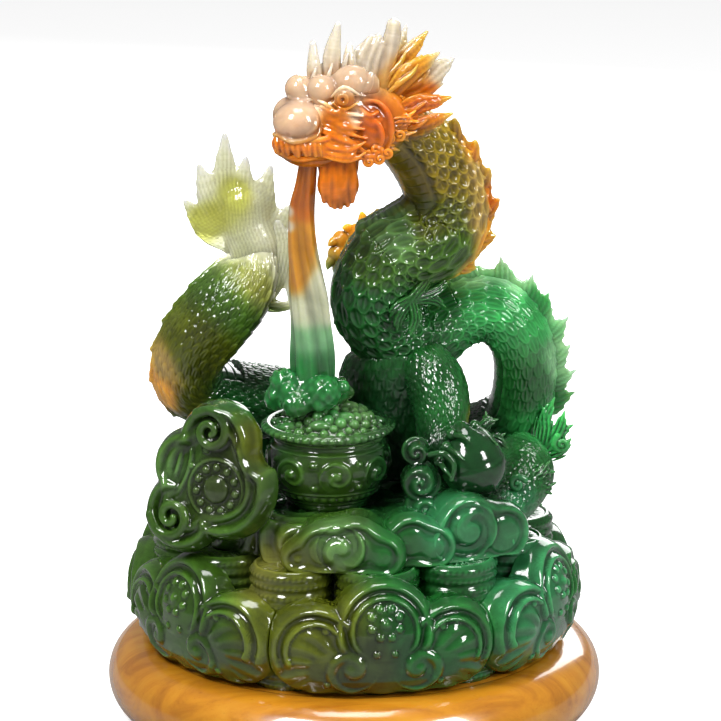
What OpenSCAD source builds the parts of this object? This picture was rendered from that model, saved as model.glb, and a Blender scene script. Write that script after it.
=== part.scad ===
// Dragon figurine cast in imitation jade, on a turned wooden stand.
// The dragon spits a water column into a treasure pot that stands on clouds over a plinth of coin stacks.
// Frame: +Z up, the viewer in front looks along +Y, the origin is the centre of the felt's underside.

/* [Stand] */
// Diameter of the wooden stand over its rounded edge
stand_d = 176; // [164:1:200]
// Height of the stand with its felt
stand_h = 30; // [24:1:40]
// Thickness of the felt under the stand
felt_t = 2; // [1:0.5:3]

/* [Figurine] */
// Height of the figurine above the stand
figurine_h = 232; // [206:1:246]

/* [Plinth] */
// Height of the plinth, and of its coin stacks
plinth_h = 42; // [40:1:43]
// Number of coin stacks round the plinth
stack_count = 12; // [12:6:18]
// Number of coins in one stack
coins_per_stack = 6; // [4:1:8]

/* [Pot] */
// Radius of the treasure pot at its rim
pot_rim_r = 22.5; // [21:0.5:24]
// Number of pearls in one ring on the pot's mound
mound_pearls = 14; // [10:1:16]

/* [Hidden] */
$fn = 48;

design_h = 232;                  // height that the points below are written for
k_fig = figurine_h / design_h;

// Colours of the casting, from the plinth's deep green to the head's amber and the pale tips
deep_green = [0.10, 0.32, 0.12];
mid_green = [0.12, 0.48, 0.20];
light_green = [0.45, 0.78, 0.52];
olive = [0.38, 0.42, 0.12];
amber = [0.86, 0.42, 0.08];
pale = [0.90, 0.88, 0.80];

// Places an object of the figurine on the stand, at its chosen size
module on_stand() translate([0, 0, stand_h]) scale(k_fig) children();

// Keeps a carved shape as one closed surface
module carved() resize([0, 0, 0]) children();

// ---------- curves ----------

function unit(v) = v / norm(v);
function xyz(p) = [p[0], p[1], p[2]];

// Catmull-Rom point between b and c
function between(a, b, c, d, t) =
    0.5 * (2 * b + (c - a) * t + (2 * a - 5 * b + 4 * c - d) * t * t + (3 * b - a - 3 * c + d) * t * t * t);

function through(p, steps) = let (n = len(p)) [
    for (i = [0:n - 2]) for (s = [0:steps - 1])
        between(p[max(i - 1, 0)], p[i], p[i + 1], p[min(i + 2, n - 1)], s / steps),
    p[n - 1]
];

function heading(c, i) = unit(xyz(c[min(i + 1, len(c) - 1)]) - xyz(c[max(i - 1, 0)]));

// One ring of a tube: across is the half width towards side, along is the half width across it
function ring(c, i, side, sides) = let (
    t = heading(c, i),
    n = unit(cross(t, side)),
    b = cross(n, t),
    wide = len(c[i]) > 4 ? c[i][4] : c[i][3]
) [for (j = [0:sides - 1]) xyz(c[i]) + c[i][3] * cos(360 * j / sides) * b + wide * sin(360 * j / sides) * n];

// A closed tube through the points of c, each [x, y, z, half width, other half width]
module tube(c, sides = 12, side = [0, 1, 0]) {
    rings = len(c);
    points = [for (i = [0:rings - 1]) each ring(c, i, side, sides)];
    walls = [for (i = [0:rings - 2]) for (j = [0:sides - 1]) let (
        a = i * sides + j, b = i * sides + (j + 1) % sides
    ) each [[a, a + sides, b], [b, a + sides, b + sides]]];
    first = [[for (j = [0:sides - 1]) j]];
    last = [[for (j = [sides - 1:-1:0]) (rings - 1) * sides + j]];
    polyhedron(points, concat(walls, first, last));
}

module limb(points, sides = 10, steps = 3) tube(through(points, steps), sides);

// Rounded mass around a list of [x, y, z, radius]
module mass(balls, fn = 16) hull() for (b = balls) translate(xyz(b)) sphere(b[3], $fn = fn);

module ball(b, fn = 18) translate(xyz(b)) sphere(b[3], $fn = fn);

// ---------- stand ----------

module felt_base_pad() color("darkgreen") cylinder(r = stand_d / 2 - 14, h = felt_t);

// Turned disc with a half-round edge
module wooden_stand() {
    edge = (stand_h - felt_t) / 2;
    color([0.78, 0.46, 0.14]) rotate_extrude($fn = 96) {
        translate([0, felt_t]) square([stand_d / 2 - edge, stand_h - felt_t]);
        intersection() {
            translate([stand_d / 2 - edge, felt_t + edge]) circle(edge, $fn = 64);
            translate([stand_d / 2 - edge, felt_t]) square([edge, stand_h - felt_t]);
        }
    }
}

// ---------- plinth ----------

panel_turn = 8;                  // degrees by which the front panel turns to the viewer's right
stack_ring_r = 57;
coin_r = stack_ring_r * sin(180 / stack_count) - 0.1;
panel_count = 6;
panel_r_in = 66;
panel_r_out = 80;

// Turns its children so that their front (-Y) faces the given angle round the plinth
module facing(turn) rotate([0, 0, turn]) children();

module at_stacks() for (i = [0:stack_count - 1])
    facing(panel_turn + i * 360 / stack_count) translate([0, -stack_ring_r, 0]) children();

module plinth_core() color(deep_green) difference() {
    cylinder(r = stack_ring_r - 1, h = plinth_h, $fn = 96);
    at_stacks() translate([0, 0, -1]) cylinder(r = coin_r, h = plinth_h + 2);
}

// One stack of coins with a groove under each rim
module coin_stack() {
    coin_h = plinth_h / coins_per_stack;
    groove = 0.9;
    land = coin_h * 0.36;
    rotate_extrude($fn = 64) polygon(concat(
        [[0, 0]],
        [for (i = [0:coins_per_stack - 1]) each [
            [coin_r - groove, i * coin_h], [coin_r, i * coin_h + land],
            [coin_r, (i + 1) * coin_h - land], [coin_r - groove, (i + 1) * coin_h]
        ]],
        [[0, plinth_h]]
    ));
}

module coin_stacks() color(olive) at_stacks() coin_stack();

// Outline of a ruyi head seen from the front, upright, standing on y = 0
module ruyi_outline() {
    translate([0, 25]) circle(17);
    for (m = [-1, 1]) translate([m * 23.6, 17.6]) circle(16.4);
    translate([-23.6, 1.2]) square([47.2, 20]);
}

// A panel wraps the plinth with a swelling face and seats against the coin stacks behind it
module panel_shape() difference() {
    intersection() {
        translate([0, -60, 0]) rotate([90, 0, 0]) linear_extrude(30) ruyi_outline();
        linear_extrude(plinth_h) polygon([[0, 0], [-59.8, -104], [59.8, -104]]);
        rotate_extrude($fn = 96) polygon([
            [panel_r_in, 0], [panel_r_out - 4, 0], [panel_r_out - 1, 7], [panel_r_out, 15],
            [panel_r_out - 0.6, 24], [panel_r_out - 2.4, 32], [panel_r_out - 6, 42], [panel_r_in, 42]
        ]);
    }
    for (i = [-2:2]) facing(i * 360 / stack_count) translate([0, -stack_ring_r, -1])
        cylinder(r = coin_r, h = plinth_h + 2);
}

module ruyi_panel(i) color(mid_green) facing(panel_turn + i * 360 / panel_count) panel_shape();

// ---------- clouds ----------

cloud_h = 15;                    // thickness of the cloud bank over the plinth
bank_lobes = [                   // [angle from the front, distance from the axis, radius]
    [-52, 40, 20], [-25, 42, 19], [0, 42, 20], [26, 40, 19], [52, 38, 19],
    [80, 38, 18], [112, 42, 18], [144, 42, 19], [176, 40, 20], [208, 42, 19], [242, 42, 19], [276, 42, 20]
];

module bank_shape() translate([0, 0, plinth_h]) {
    cylinder(r = 44, h = cloud_h);
    for (l = bank_lobes) facing(l[0]) translate([0, -l[1], 0]) {
        cylinder(r = l[2], h = cloud_h - 5, $fn = 24);
        translate([0, 0, cloud_h - 5]) cylinder(r1 = l[2], r2 = l[2] - 5, h = 5, $fn = 24);
    }
}

module cloud_bank() color(mid_green) carved() difference() {
    bank_shape();
    coil_shape();
    ruyi_slab();
    stem_shape();
    scroll_shapes();
    hind_shape();
    arch_shape();
}

rise_lobes = [[26, 46, 54, 15], [6, 50, 56, 17], [-18, 50, 60, 17], [-38, 42, 62, 15], [-8, 30, 62, 16]];

module rise_shape() intersection() {
    union() for (l = rise_lobes) ball(l, 24);
    translate([-90, -90, plinth_h + cloud_h]) cube([180, 180, 80]);
}

// Cloud that carries the coil behind the pot
module cloud_rise_back() color(deep_green) carved() difference() {
    rise_shape();
    coil_shape();
    tail_shape();
    pot_shape();
    chest_shape();
    arch_shape();
}

// A curling cloud: circles [x, z, radius] drawn upright and given a depth, standing on the plinth
module scroll(place, turn, depth, discs) translate([place[0], place[1], plinth_h]) rotate([0, 0, turn])
    rotate([90, 0, 0]) linear_extrude(depth) intersection() {
        union() {
            for (d = discs) translate([d[0], d[1]]) circle(d[2], $fn = 32);
            translate([discs[0][0] - discs[0][2], 0]) square([2 * discs[0][2], discs[0][1]]);
        }
        translate([-40, 0]) square([80, 40]);
    }

module front_scroll_shape() scroll([2, -49, 0], -3, 15, [[3, 10, 12.4], [-13.5, 14, 6.6], [-8, 6, 8]]);
module middle_scroll_shape() scroll([17, -45, 0], 12, 13, [[1, 9, 9], [6, 5, 7]]);
module right_scroll_shape() scroll([36, -37, 0], 26, 13, [[0, 11, 12], [12, 7, 9]]);

module scroll_shapes() {
    front_scroll_shape();
    middle_scroll_shape();
    right_scroll_shape();
}

module cloud_scroll_front() color(mid_green) front_scroll_shape();

module cloud_scroll_middle() color(mid_green) carved() difference() {
    middle_scroll_shape();
    front_scroll_shape();
}

module cloud_scroll_right() color(mid_green) carved() difference() {
    right_scroll_shape();
    middle_scroll_shape();
    hind_shape();
}

// ---------- ruyi sceptre ----------

ruyi_at = [-48, -44, 69.8];
ruyi_turn = [8, -17, -26];       // tilt back, roll and turn of the head's face
ruyi_t = 13;

module in_ruyi_frame() translate(ruyi_at) rotate([0, 0, ruyi_turn[2]]) rotate([90 - ruyi_turn[0], 0, 0])
    rotate([0, 0, ruyi_turn[1]]) children();

module ruyi_slab() in_ruyi_frame() translate([0, 0, -ruyi_t / 2]) linear_extrude(ruyi_t) {
    translate([5, 0]) circle(19.5, $fn = 40);
    translate([-2, 13]) circle(15, $fn = 32);
    translate([-6, -15]) circle(14.5, $fn = 32);
    translate([-9.5, 1]) circle(13.5, $fn = 32);
}

module ruyi_head() color(olive) ruyi_slab();

module stem_shape() difference() {
    mass([[-61, -33, 75, 9], [-63, -22, 68, 9], [-50, -24, 58, 10], [-50, -30, 74, 8]]);
    ruyi_slab();
}

// Stem of the sceptre, behind its head
module ruyi_stem() color(olive) carved() difference() {
    stem_shape();
    tail_shape();
    coil_shape();
}

// ---------- treasure pot ----------

pot_at = [-9, -28, 57];
pot_h = 23;

module pot_shape() translate(pot_at) rotate_extrude($fn = 64) polygon([
    [0, 0], [13, 0], [15, 1.5], [19.5, 6], [pot_rim_r - 1, 11], [pot_rim_r - 1.2, 15],
    [pot_rim_r - 3, 17.5], [pot_rim_r - 2.5, 19], [pot_rim_r, 20], [pot_rim_r, pot_h], [0, pot_h]
]);

module treasure_pot() color(mid_green) pot_shape();

module mound_shape() translate(pot_at + [0, 0, pot_h]) {
    rotate_extrude($fn = 32) polygon([[0, 0], [18.5, 0], [18.5, 1], [14.5, 7], [9, 11.5], [4, 14], [0, 14.5]]);
    for (j = [0:mound_pearls - 1]) rotate([0, 0, j * 360 / mound_pearls]) translate([17.2, 0, 2.6])
        sphere(2.5, $fn = 8);
}

// Heap of pearls and ingots that fills the pot
module treasure_mound() color(light_green) carved() difference() {
    mound_shape();
    ruyi_slab();
    foreleg_right_shape();
    chest_shape();
}

// ---------- water ----------

water = [                        // [x, y, z, half depth, half width]
    [-14.5, -31, 97, 6.5, 7.6], [-14.5, -31, 108, 6.4, 7.8], [-15, -31.5, 125, 5.8, 7.2],
    [-16.4, -32, 139, 5.2, 6.4], [-17.6, -33, 151, 4.6, 5.2], [-17.8, -34, 163, 4.2, 4.8],
    [-16.5, -36, 172, 3.6, 3.8], [-15.5, -37, 178, 3.2, 3.4]
];
splash_balls = [
    [-15, -31, 97, 8.6], [-24, -33, 101, 5.6], [-27, -32, 95, 4.4], [-20, -39, 95, 5],
    [-10, -38, 99, 6.2], [-6, -30, 97, 5], [-14, -24, 98, 5.4], [-23, -26, 97, 5]
];

module water_shape() limb(water, 12, 2);

module water_column() color(pale) carved() difference() {
    water_shape();
    splash_shape();
    mound_shape();
    skull_shape();
    jaw_shape();
}

module splash_shape() for (b = splash_balls) ball(b, 14);

module water_splash() color(light_green) carved() difference() {
    splash_shape();
    mound_shape();
}

// ---------- dragon's body ----------

// The body's centre line from the skull to the tail: [x, y, z, radius]
spine = [
    [8, -24, 193, 10], [22, -12, 180, 12.5], [31, -5, 166, 14], [33, -3, 152, 14],
    [26, -4, 142, 14], [12, -6, 137, 14.5], [5, -5, 125, 14.5], [11, 0, 112, 13.5],
    [25, 4, 108, 12.5], [37, 7, 115, 12], [49, 8, 116, 12], [58, 9, 106, 11.5],
    [60, 12, 90, 11.5], [56, 18, 73, 12], [40, 29, 62, 13], [18, 37, 61, 13.5],
    [-6, 40, 66, 13.5], [-27, 36, 74, 13.5], [-46, 29, 80, 12.5], [-58, 21, 87, 12.5],
    [-57, 16, 99, 13], [-49.5, 15, 110, 13.5], [-41.5, 16, 120, 12], [-36, 18, 129.5, 9.2], [-34.5, 19, 138, 8]
];
spine_steps = 3;
body_sides = 16;
backbone = through(spine, spine_steps);

// Stretch of the body between two of the spine's points
module stretch(from, to) {
    first = from * spine_steps;
    last = to * spine_steps;
    part_points = [for (i = [first:last]) backbone[i]];
    rings = last - first + 1;
    points = [for (i = [first:last]) each ring(backbone, i, [0, 1, 0], body_sides)];
    walls = [for (i = [0:rings - 2]) for (j = [0:body_sides - 1]) let (
        a = i * body_sides + j, b = i * body_sides + (j + 1) % body_sides
    ) each [[a, a + body_sides, b], [b, a + body_sides, b + body_sides]]];
    polyhedron(points, concat(walls,
        [[for (j = [0:body_sides - 1]) j]],
        [[for (j = [body_sides - 1:-1:0]) (rings - 1) * body_sides + j]]));
}

module neck_shape() stretch(0, 5);
module chest_shape() stretch(5, 9);
module arch_shape() stretch(9, 13);
module coil_shape() stretch(13, 18);
module tail_shape() stretch(18, 24);

module dragon_neck() color(olive) neck_shape();

module dragon_chest() color(mid_green) carved() difference() {
    chest_shape();
    neck_shape();
}

module dragon_arch() color(mid_green) carved() difference() {
    arch_shape();
    neck_shape();
}

module dragon_lower_coil() color(deep_green) coil_shape();

module dragon_tail() color(olive) tail_shape();

// Crest of pointed lobes that stands off the body's back, between two of the spine's points.
// The back is on the left hand of the way that the spine runs.
module crest(from, to, lobes, height, thick) {
    first = from * spine_steps;
    last = to * spine_steps;
    count = last - first;
    for (m = [0:lobes - 1]) {
        i = first + floor((m + 0.5) * count / lobes);
        t = heading(backbone, i);
        n = unit(cross(t, [0, 1, 0]));
        foot = xyz(backbone[i]) + n * (backbone[i][3] - 3);
        half = 0.56 * norm(xyz(backbone[min(i + 1, last)]) - xyz(backbone[i])) * count / lobes;
        hull() {
            for (s = [-half, half]) translate(foot + t * s) sphere(thick, $fn = 8);
            translate(foot + n * (height + 3) - t * half * 0.6) sphere(thick * 0.45, $fn = 8);
        }
    }
}

module neck_crest() color(amber) carved() difference() {
    crest(1, 4, 8, 3.4, 1.8);
    neck_shape();
    arch_shape();
    chest_shape();
    skull_shape();
}

module arch_crest() color(light_green) carved() difference() {
    crest(9, 13, 6, 6, 1.8);
    arch_shape();
    neck_shape();
    chest_shape();
    coil_shape();
}

module tail_crest() color(amber) carved() difference() {
    crest(18, 23, 9, 1.6, 1.7);
    tail_shape();
    coil_shape();
    rise_shape();
    stem_shape();
    ruyi_slab();
}

// Flames of the tail: [foot x, foot z, tip x, tip z, half width]
tail_flames = [
    [-42, 139, -59, 152, 7], [-40, 139, -54, 165, 6.5], [-38, 139, -45.5, 176, 6.5],
    [-36, 139, -38, 168, 6], [-34, 139, -29.5, 164.5, 6], [-32, 139, -23.5, 150, 5.5]
];

module tail_flame_shape() {
    for (f = tail_flames) hull() {
        translate([f[0], 20, f[1]]) sphere(4, $fn = 12);
        translate([(f[0] + f[2]) / 2, 20, (f[1] + f[3]) / 2]) sphere(f[4] * 0.72, $fn = 12);
        translate([f[2], 20, f[3]]) sphere(0.9, $fn = 8);
    }
    mass([[-35, 20, 140, 7], [-44, 20, 147, 7], [-34, 20, 150, 8]], 14);
}

module tail_flame() color(pale) carved() difference() {
    tail_flame_shape();
    tail_shape();
}

module tail_inner_fin() color(pale) carved() difference() {
    union() {
        mass([[-37, 17, 122, 5], [-29, 17, 134, 4], [-31, 17, 143, 3]], 12);
        mass([[-36, 17, 119, 4], [-24, 17, 121, 2.4]], 12);
    }
    tail_shape();
    tail_flame_shape();
}

// ---------- dragon's head ----------

module skull_shape() difference() {
    union() {
        mass([[6, -27, 195, 12], [-4, -31, 201, 11.5]], 20);
        mass([[-4, -31, 201, 10], [-16, -38, 197, 7]], 20);
        mass([[-10, -36, 198, 7], [-18.5, -40, 195, 5.5]], 16);
    }
    neck_shape();
}

module dragon_skull() color(amber) carved() skull_shape();

nostrils = [[-18.5, -41, 199, 7.6], [-22, -33, 200, 6.6], [-18.5, -35, 210, 4.7]];
brows = [[-11, -37, 209.5, 5.2], [-0.5, -35, 212, 7], [-7, -25, 212, 6]];
eyes = [[-3.2, -42, 206.5, 3.8], [-13, -24, 207, 3.8]];

module nostril_shape() for (b = nostrils) ball(b);
module brow_shape() for (b = brows) ball(b);

module nostril_bulbs() color(pale) carved() difference() {
    nostril_shape();
    skull_shape();
}

module brow_bulbs() color(pale) carved() difference() {
    brow_shape();
    skull_shape();
    nostril_shape();
}

module dragon_eyes() color(amber) carved() difference() {
    for (b = eyes) ball(b);
    skull_shape();
    brow_shape();
    nostril_shape();
}

module teeth_shape() for (a = [0:4]) translate([-22.5 + a * 3.3, -43 + a * 0.7, 184])
    cylinder(h = 9, r1 = 1, r2 = 1.5, $fn = 10);

module upper_teeth() color(pale) carved() difference() {
    teeth_shape();
    skull_shape();
    jaw_shape();
    water_shape();
}

module jaw_shape() difference() {
    mass([[-20.5, -40, 183, 4], [-9, -36, 183, 5], [0, -31, 187, 5]], 14);
    skull_shape();
}

module lower_jaw() color(amber) carved() difference() {
    jaw_shape();
    neck_shape();
}

module upper_beard_shape() mass([[-5, -33, 180, 4.4], [-6, -34, 172, 5.6]], 16);

module chin_beard() color(amber) carved() difference() {
    union() {
        upper_beard_shape();
        mass([[-6, -34, 172, 5.6], [-9, -35, 167, 4.6], [-4, -34, 167, 4.6]], 16);
    }
    jaw_shape();
    skull_shape();
    neck_shape();
    water_shape();
}

// Strand that tapers from its root to its tip
module strand(root, bend, tip, r) limb([concat(root, r * 0.8), concat(bend, r), concat(tip, 0.8)], 8, 3);

crown = [
    [[-12.5, -32, 209], [-13.5, -32, 216], [-13.8, -31, 225], 2.6],
    [[-7, -31, 210], [-7.5, -30, 220], [-5.4, -29, 231], 3.2],
    [[-1.5, -30, 214], [-1.5, -30, 219], [-1.5, -29, 223.5], 2.4]
];

module crown_shape() for (s = crown) strand(s[0], s[1], s[2], s[3]);

module crown_spikes() color(pale) carved() difference() {
    crown_shape();
    skull_shape();
    nostril_shape();
    brow_shape();
}

module horn_shape() {
    limb([[7, -24, 206, 4], [10.5, -23.5, 217, 3.8], [13.3, -23, 229, 2.9]], 12, 3);
    mass([[1, -26, 210, 4], [3, -24, 221, 3.6], [8, -24, 223, 3.4], [6, -24, 210, 4]], 14);
}

module horns() color(pale) carved() difference() {
    horn_shape();
    skull_shape();
    brow_shape();
    crown_shape();
}

mane = [
    [[9, -24, 205], [16, -22, 215], [25, -20, 225], 3.4],
    [[11, -25, 203], [20, -25, 212], [29, -24, 218.5], 3.4],
    [[11, -22, 199], [23, -21, 207], [33, -19, 212.5], 4],
    [[11, -27, 196], [22, -28, 201], [33, -26, 203.5], 3.4],
    [[11, -28, 191], [22, -29, 194], [33.5, -27, 198], 3.4],
    [[9, -18, 204], [14, -16, 214], [18, -14, 226], 3],
    [[10, -17, 200], [20, -13, 209], [28, -9, 215], 3],
    [[11, -15, 196], [21, -10, 203], [30, -6, 207], 3]
];

module mane_shape() {
    for (s = mane) strand(s[0], s[1], s[2], s[3]);
    mass([[10, -24, 203, 4], [12, -25, 192, 4], [11, -18, 200, 4]], 14);
}

module mane_strands() color(amber) carved() difference() {
    mane_shape();
    skull_shape();
    neck_shape();
    horn_shape();
    brow_shape();
}

// Fringe that fans out behind the cheek
module cheek_frill() color(amber) carved() difference() {
    union() {
        mass([[2, -36, 196, 4], [9, -36, 193, 3.4], [6, -36, 186, 3.4]], 12);
        mass([[3, -35, 188, 3.4], [12, -33, 182, 2.4]], 12);
    }
    skull_shape();
    jaw_shape();
    neck_shape();
    mane_shape();
    upper_beard_shape();
}

// ---------- limbs and tufts ----------

module foreleg_right_shape() limb([
    [24, -9, 108, 9], [29, -14, 99, 10], [30, -17, 87, 9.5], [30, -22, 77, 7.5], [32, -29, 73, 5.5]
], 12);

// The body below the chest, which the legs hide in part: [x, y, z, half depth, half width]
belly = [
    [13, 1, 106, 13, 15], [14, 0, 94, 13, 20], [16, 2, 78, 13, 19], [20, 6, 57, 13, 18]
];

module belly_shape() limb(belly, 16, 2);

module dragon_belly() color(deep_green) carved() difference() {
    belly_shape();
    chest_shape();
    arch_shape();
    coil_shape();
    foreleg_right_shape();
    pot_shape();
    mound_shape();
    rise_shape();
    bank_shape();
}

module pearl_shape() ball([41, -33, 71.5, 11.8], 28);

module flaming_pearl() color(mid_green) carved() difference() {
    pearl_shape();
    right_scroll_shape();
    middle_scroll_shape();
    bank_shape();
}

module foreleg_right() color(mid_green) carved() difference() {
    foreleg_right_shape();
    chest_shape();
    neck_shape();
    arch_shape();
    pearl_shape();
    pot_shape();
}

module knot_shape() {
    ball([23, -41, 70, 7.2], 20);
    ball([22, -37, 79, 5], 16);
    mass([[23, -40, 64, 7], [24, -38, 56, 8]], 16);
}

module cloud_knot() color(mid_green) carved() difference() {
    knot_shape();
    pearl_shape();
    foreleg_right_shape();
    pot_shape();
    middle_scroll_shape();
    front_scroll_shape();
    right_scroll_shape();
    bank_shape();
}

module foreleg_left() color(amber) carved() difference() {
    union() {
        limb([[12, 12, 112, 8], [4, 17, 126, 9.5], [1, 17, 137, 9], [-3, 13, 126, 6.5]], 12);
        mass([[1, 17, 142, 4], [3, 17, 149, 2]], 10);
    }
    neck_shape();
    chest_shape();
    arch_shape();
}

// Flame of hair at the shoulder, on the near side of the body
module shoulder_tuft() color(olive) carved() difference() {
    union() {
        mass([[20, -18, 127, 2.5], [33, -9, 131, 2]], 10);
        mass([[20, -18, 127, 2.5], [15, -19, 117, 1.8]], 10);
        mass([[20, -18, 127, 2.5], [30, -9, 120, 2.2]], 10);
    }
    neck_shape();
    chest_shape();
    arch_shape();
    foreleg_right_shape();
}

module hind_shape() limb([
    [56, 4, 66, 9], [60, -8, 62, 9.5], [56, -20, 55, 8], [50, -30, 52, 6.5], [44, -37, 47, 5]
], 12);

module hind_leg_right() color(mid_green) carved() difference() {
    hind_shape();
    coil_shape();
    arch_shape();
    pearl_shape();
}

module hind_ankle_tuft() color(mid_green) carved() difference() {
    union() {
        mass([[55, -20, 64, 5], [67, -17, 66, 2.4]], 12);
        mass([[55, -20, 62, 6], [69, -16, 60, 2.4]], 12);
        mass([[56, -20, 58, 5], [66, -17, 54, 2.2]], 12);
    }
    hind_shape();
    pearl_shape();
    arch_shape();
    coil_shape();
    bank_shape();
}

module hip_tuft() color(light_green) carved() difference() {
    union() {
        mass([[66, 6, 66, 4.4], [73, 4, 78, 3.2], [69, 4, 84, 1.8]], 12);
        mass([[66, 6, 66, 4.4], [76, 3, 70, 1.8]], 12);
    }
    arch_shape();
    hind_shape();
    coil_shape();
}

// ---------- assembly ----------

felt_base_pad();
wooden_stand();
on_stand() plinth_core();
on_stand() coin_stacks();
on_stand() ruyi_panel(0);  // ruyi_panel_front
on_stand() ruyi_panel(1);  // ruyi_panel_front_right
on_stand() ruyi_panel(2);  // ruyi_panel_back_right
on_stand() ruyi_panel(3);  // ruyi_panel_back
on_stand() ruyi_panel(4);  // ruyi_panel_back_left
on_stand() ruyi_panel(5);  // ruyi_panel_front_left
on_stand() cloud_bank();
on_stand() cloud_rise_back();
on_stand() cloud_scroll_front();
on_stand() cloud_scroll_middle();
on_stand() cloud_scroll_right();
on_stand() ruyi_head();
on_stand() ruyi_stem();
on_stand() treasure_pot();
on_stand() treasure_mound();
on_stand() water_column();
on_stand() water_splash();
on_stand() flaming_pearl();
on_stand() cloud_knot();
on_stand() dragon_neck();
on_stand() dragon_chest();
on_stand() dragon_arch();
on_stand() dragon_lower_coil();
on_stand() dragon_tail();
on_stand() neck_crest();
on_stand() arch_crest();
on_stand() tail_crest();
on_stand() tail_flame();
on_stand() tail_inner_fin();
on_stand() dragon_skull();
on_stand() nostril_bulbs();
on_stand() brow_bulbs();
on_stand() dragon_eyes();
on_stand() upper_teeth();
on_stand() lower_jaw();
on_stand() chin_beard();
on_stand() crown_spikes();
on_stand() horns();
on_stand() mane_strands();
on_stand() cheek_frill();
on_stand() dragon_belly();
on_stand() shoulder_tuft();
on_stand() foreleg_right();
on_stand() foreleg_left();
on_stand() hind_leg_right();
on_stand() hind_ankle_tuft();
on_stand() hip_tuft();
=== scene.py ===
"""Looks of the dragon figurine: carved casting in imitation jade on a lacquered wooden stand."""
import math

import bpy
import numpy as np
import openvdb
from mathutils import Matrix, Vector


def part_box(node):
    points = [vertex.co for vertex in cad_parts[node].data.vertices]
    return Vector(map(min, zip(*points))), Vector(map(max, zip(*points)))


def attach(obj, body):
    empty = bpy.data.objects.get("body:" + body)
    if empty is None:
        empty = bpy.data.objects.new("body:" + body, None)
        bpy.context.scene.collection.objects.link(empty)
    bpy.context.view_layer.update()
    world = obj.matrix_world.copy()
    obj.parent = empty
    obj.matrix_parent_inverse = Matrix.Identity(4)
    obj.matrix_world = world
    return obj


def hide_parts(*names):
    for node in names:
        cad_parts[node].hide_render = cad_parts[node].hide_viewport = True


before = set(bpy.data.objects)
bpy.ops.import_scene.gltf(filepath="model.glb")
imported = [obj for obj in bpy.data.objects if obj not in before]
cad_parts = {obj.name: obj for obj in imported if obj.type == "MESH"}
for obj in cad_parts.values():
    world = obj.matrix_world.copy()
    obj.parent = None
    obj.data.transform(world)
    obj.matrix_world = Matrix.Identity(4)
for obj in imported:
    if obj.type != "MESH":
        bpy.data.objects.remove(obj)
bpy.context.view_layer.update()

MM = 0.001
STAND_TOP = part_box("wooden_stand")[1].z / MM     # the figurine's own heights start here
VOX = 0.3                                        # usual carving step, in mm

# ---------------------------------------------------------------- vectors and curves


def vec(*p):
    return np.array(p, np.float32)


def unit(v):
    v = np.asarray(v, np.float64)
    return v / np.maximum(np.linalg.norm(v, axis=-1, keepdims=True), 1e-9)


def spline(points, steps):
    """Catmull-Rom curve through points of any width, with steps stretches between neighbours."""
    p = np.asarray(points, float)
    rows = []
    for i in range(len(p) - 1):
        a, b, c, d = p[max(i - 1, 0)], p[i], p[i + 1], p[min(i + 2, len(p) - 1)]
        for s in range(steps):
            t = s / steps
            rows.append(0.5 * (2 * b + (c - a) * t + (2 * a - 5 * b + 4 * c - d) * t * t
                               + (3 * b - a - 3 * c + d) * t ** 3))
    rows.append(p[-1])
    return np.array(rows)


def resample(curve, step):
    """The same curve with points an even step apart along its first three columns."""
    gaps = np.linalg.norm(np.diff(curve[:, :3], axis=0), axis=1)
    run = np.concatenate([[0], np.cumsum(gaps)])
    at = np.linspace(0, run[-1], max(int(run[-1] / step), 2) + 1)
    return np.stack([np.interp(at, run, curve[:, k]) for k in range(curve.shape[1])], 1), at


def smooth(a, b, x):
    t = np.clip((x - a) / (b - a), 0, 1)
    return t * t * (3 - 2 * t)


def bump(x, centre, half):
    """1 at centre, falling smoothly to 0 at half away from it."""
    t = np.clip(1 - ((x - centre) / half) ** 2, 0, 1)
    return t * t


def smin(a, b, k):
    if k <= 0:
        return np.minimum(a, b)
    h = np.maximum(k - np.abs(a - b), 0) / k
    return np.minimum(a, b) - h * h * k / 4


def smax(a, b, k):
    return -smin(-a, -b, k)


def curl(cx, cy, r0, r1, start, turns, steps):
    """Flat spiral round (cx, cy) from radius r0 to r1, starting at an angle in degrees."""
    t = np.linspace(0, 1, steps)
    a = np.radians(start + 360 * turns * t)
    r = r0 + (r1 - r0) * t ** 0.85
    return np.stack([cx + r * np.cos(a), cy + r * np.sin(a)], 1)


# ---------------------------------------------------------------- colour of the casting

HONEY = (0.70, 0.30, 0.02)
AMBER = (0.58, 0.15, 0.006)
BURNT = (0.43, 0.085, 0.006)
MILK = (0.70, 0.49, 0.33)
PALE = (0.68, 0.59, 0.47)
FROST = (0.70, 0.70, 0.50)
LIME = (0.56, 0.57, 0.12)
OLIVE = (0.070, 0.085, 0.005)
MOSS = (0.030, 0.078, 0.007)
GREEN = (0.009, 0.085, 0.014)
DEEP = (0.004, 0.034, 0.007)
BRIGHT = (0.026, 0.24, 0.055)
MINT = (0.24, 0.52, 0.25)
BRONZE = (0.17, 0.12, 0.006)
HIDE = (0.30, 0.20, 0.010)
KHAKI = (0.30, 0.20, 0.05)
SAGE = (0.075, 0.16, 0.045)
MUD = (0.15, 0.15, 0.025)
STRAW = (0.26, 0.27, 0.05)
TEAL = (0.022, 0.15, 0.052)
SHADE = (0.030, 0.050, 0.010)

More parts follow.
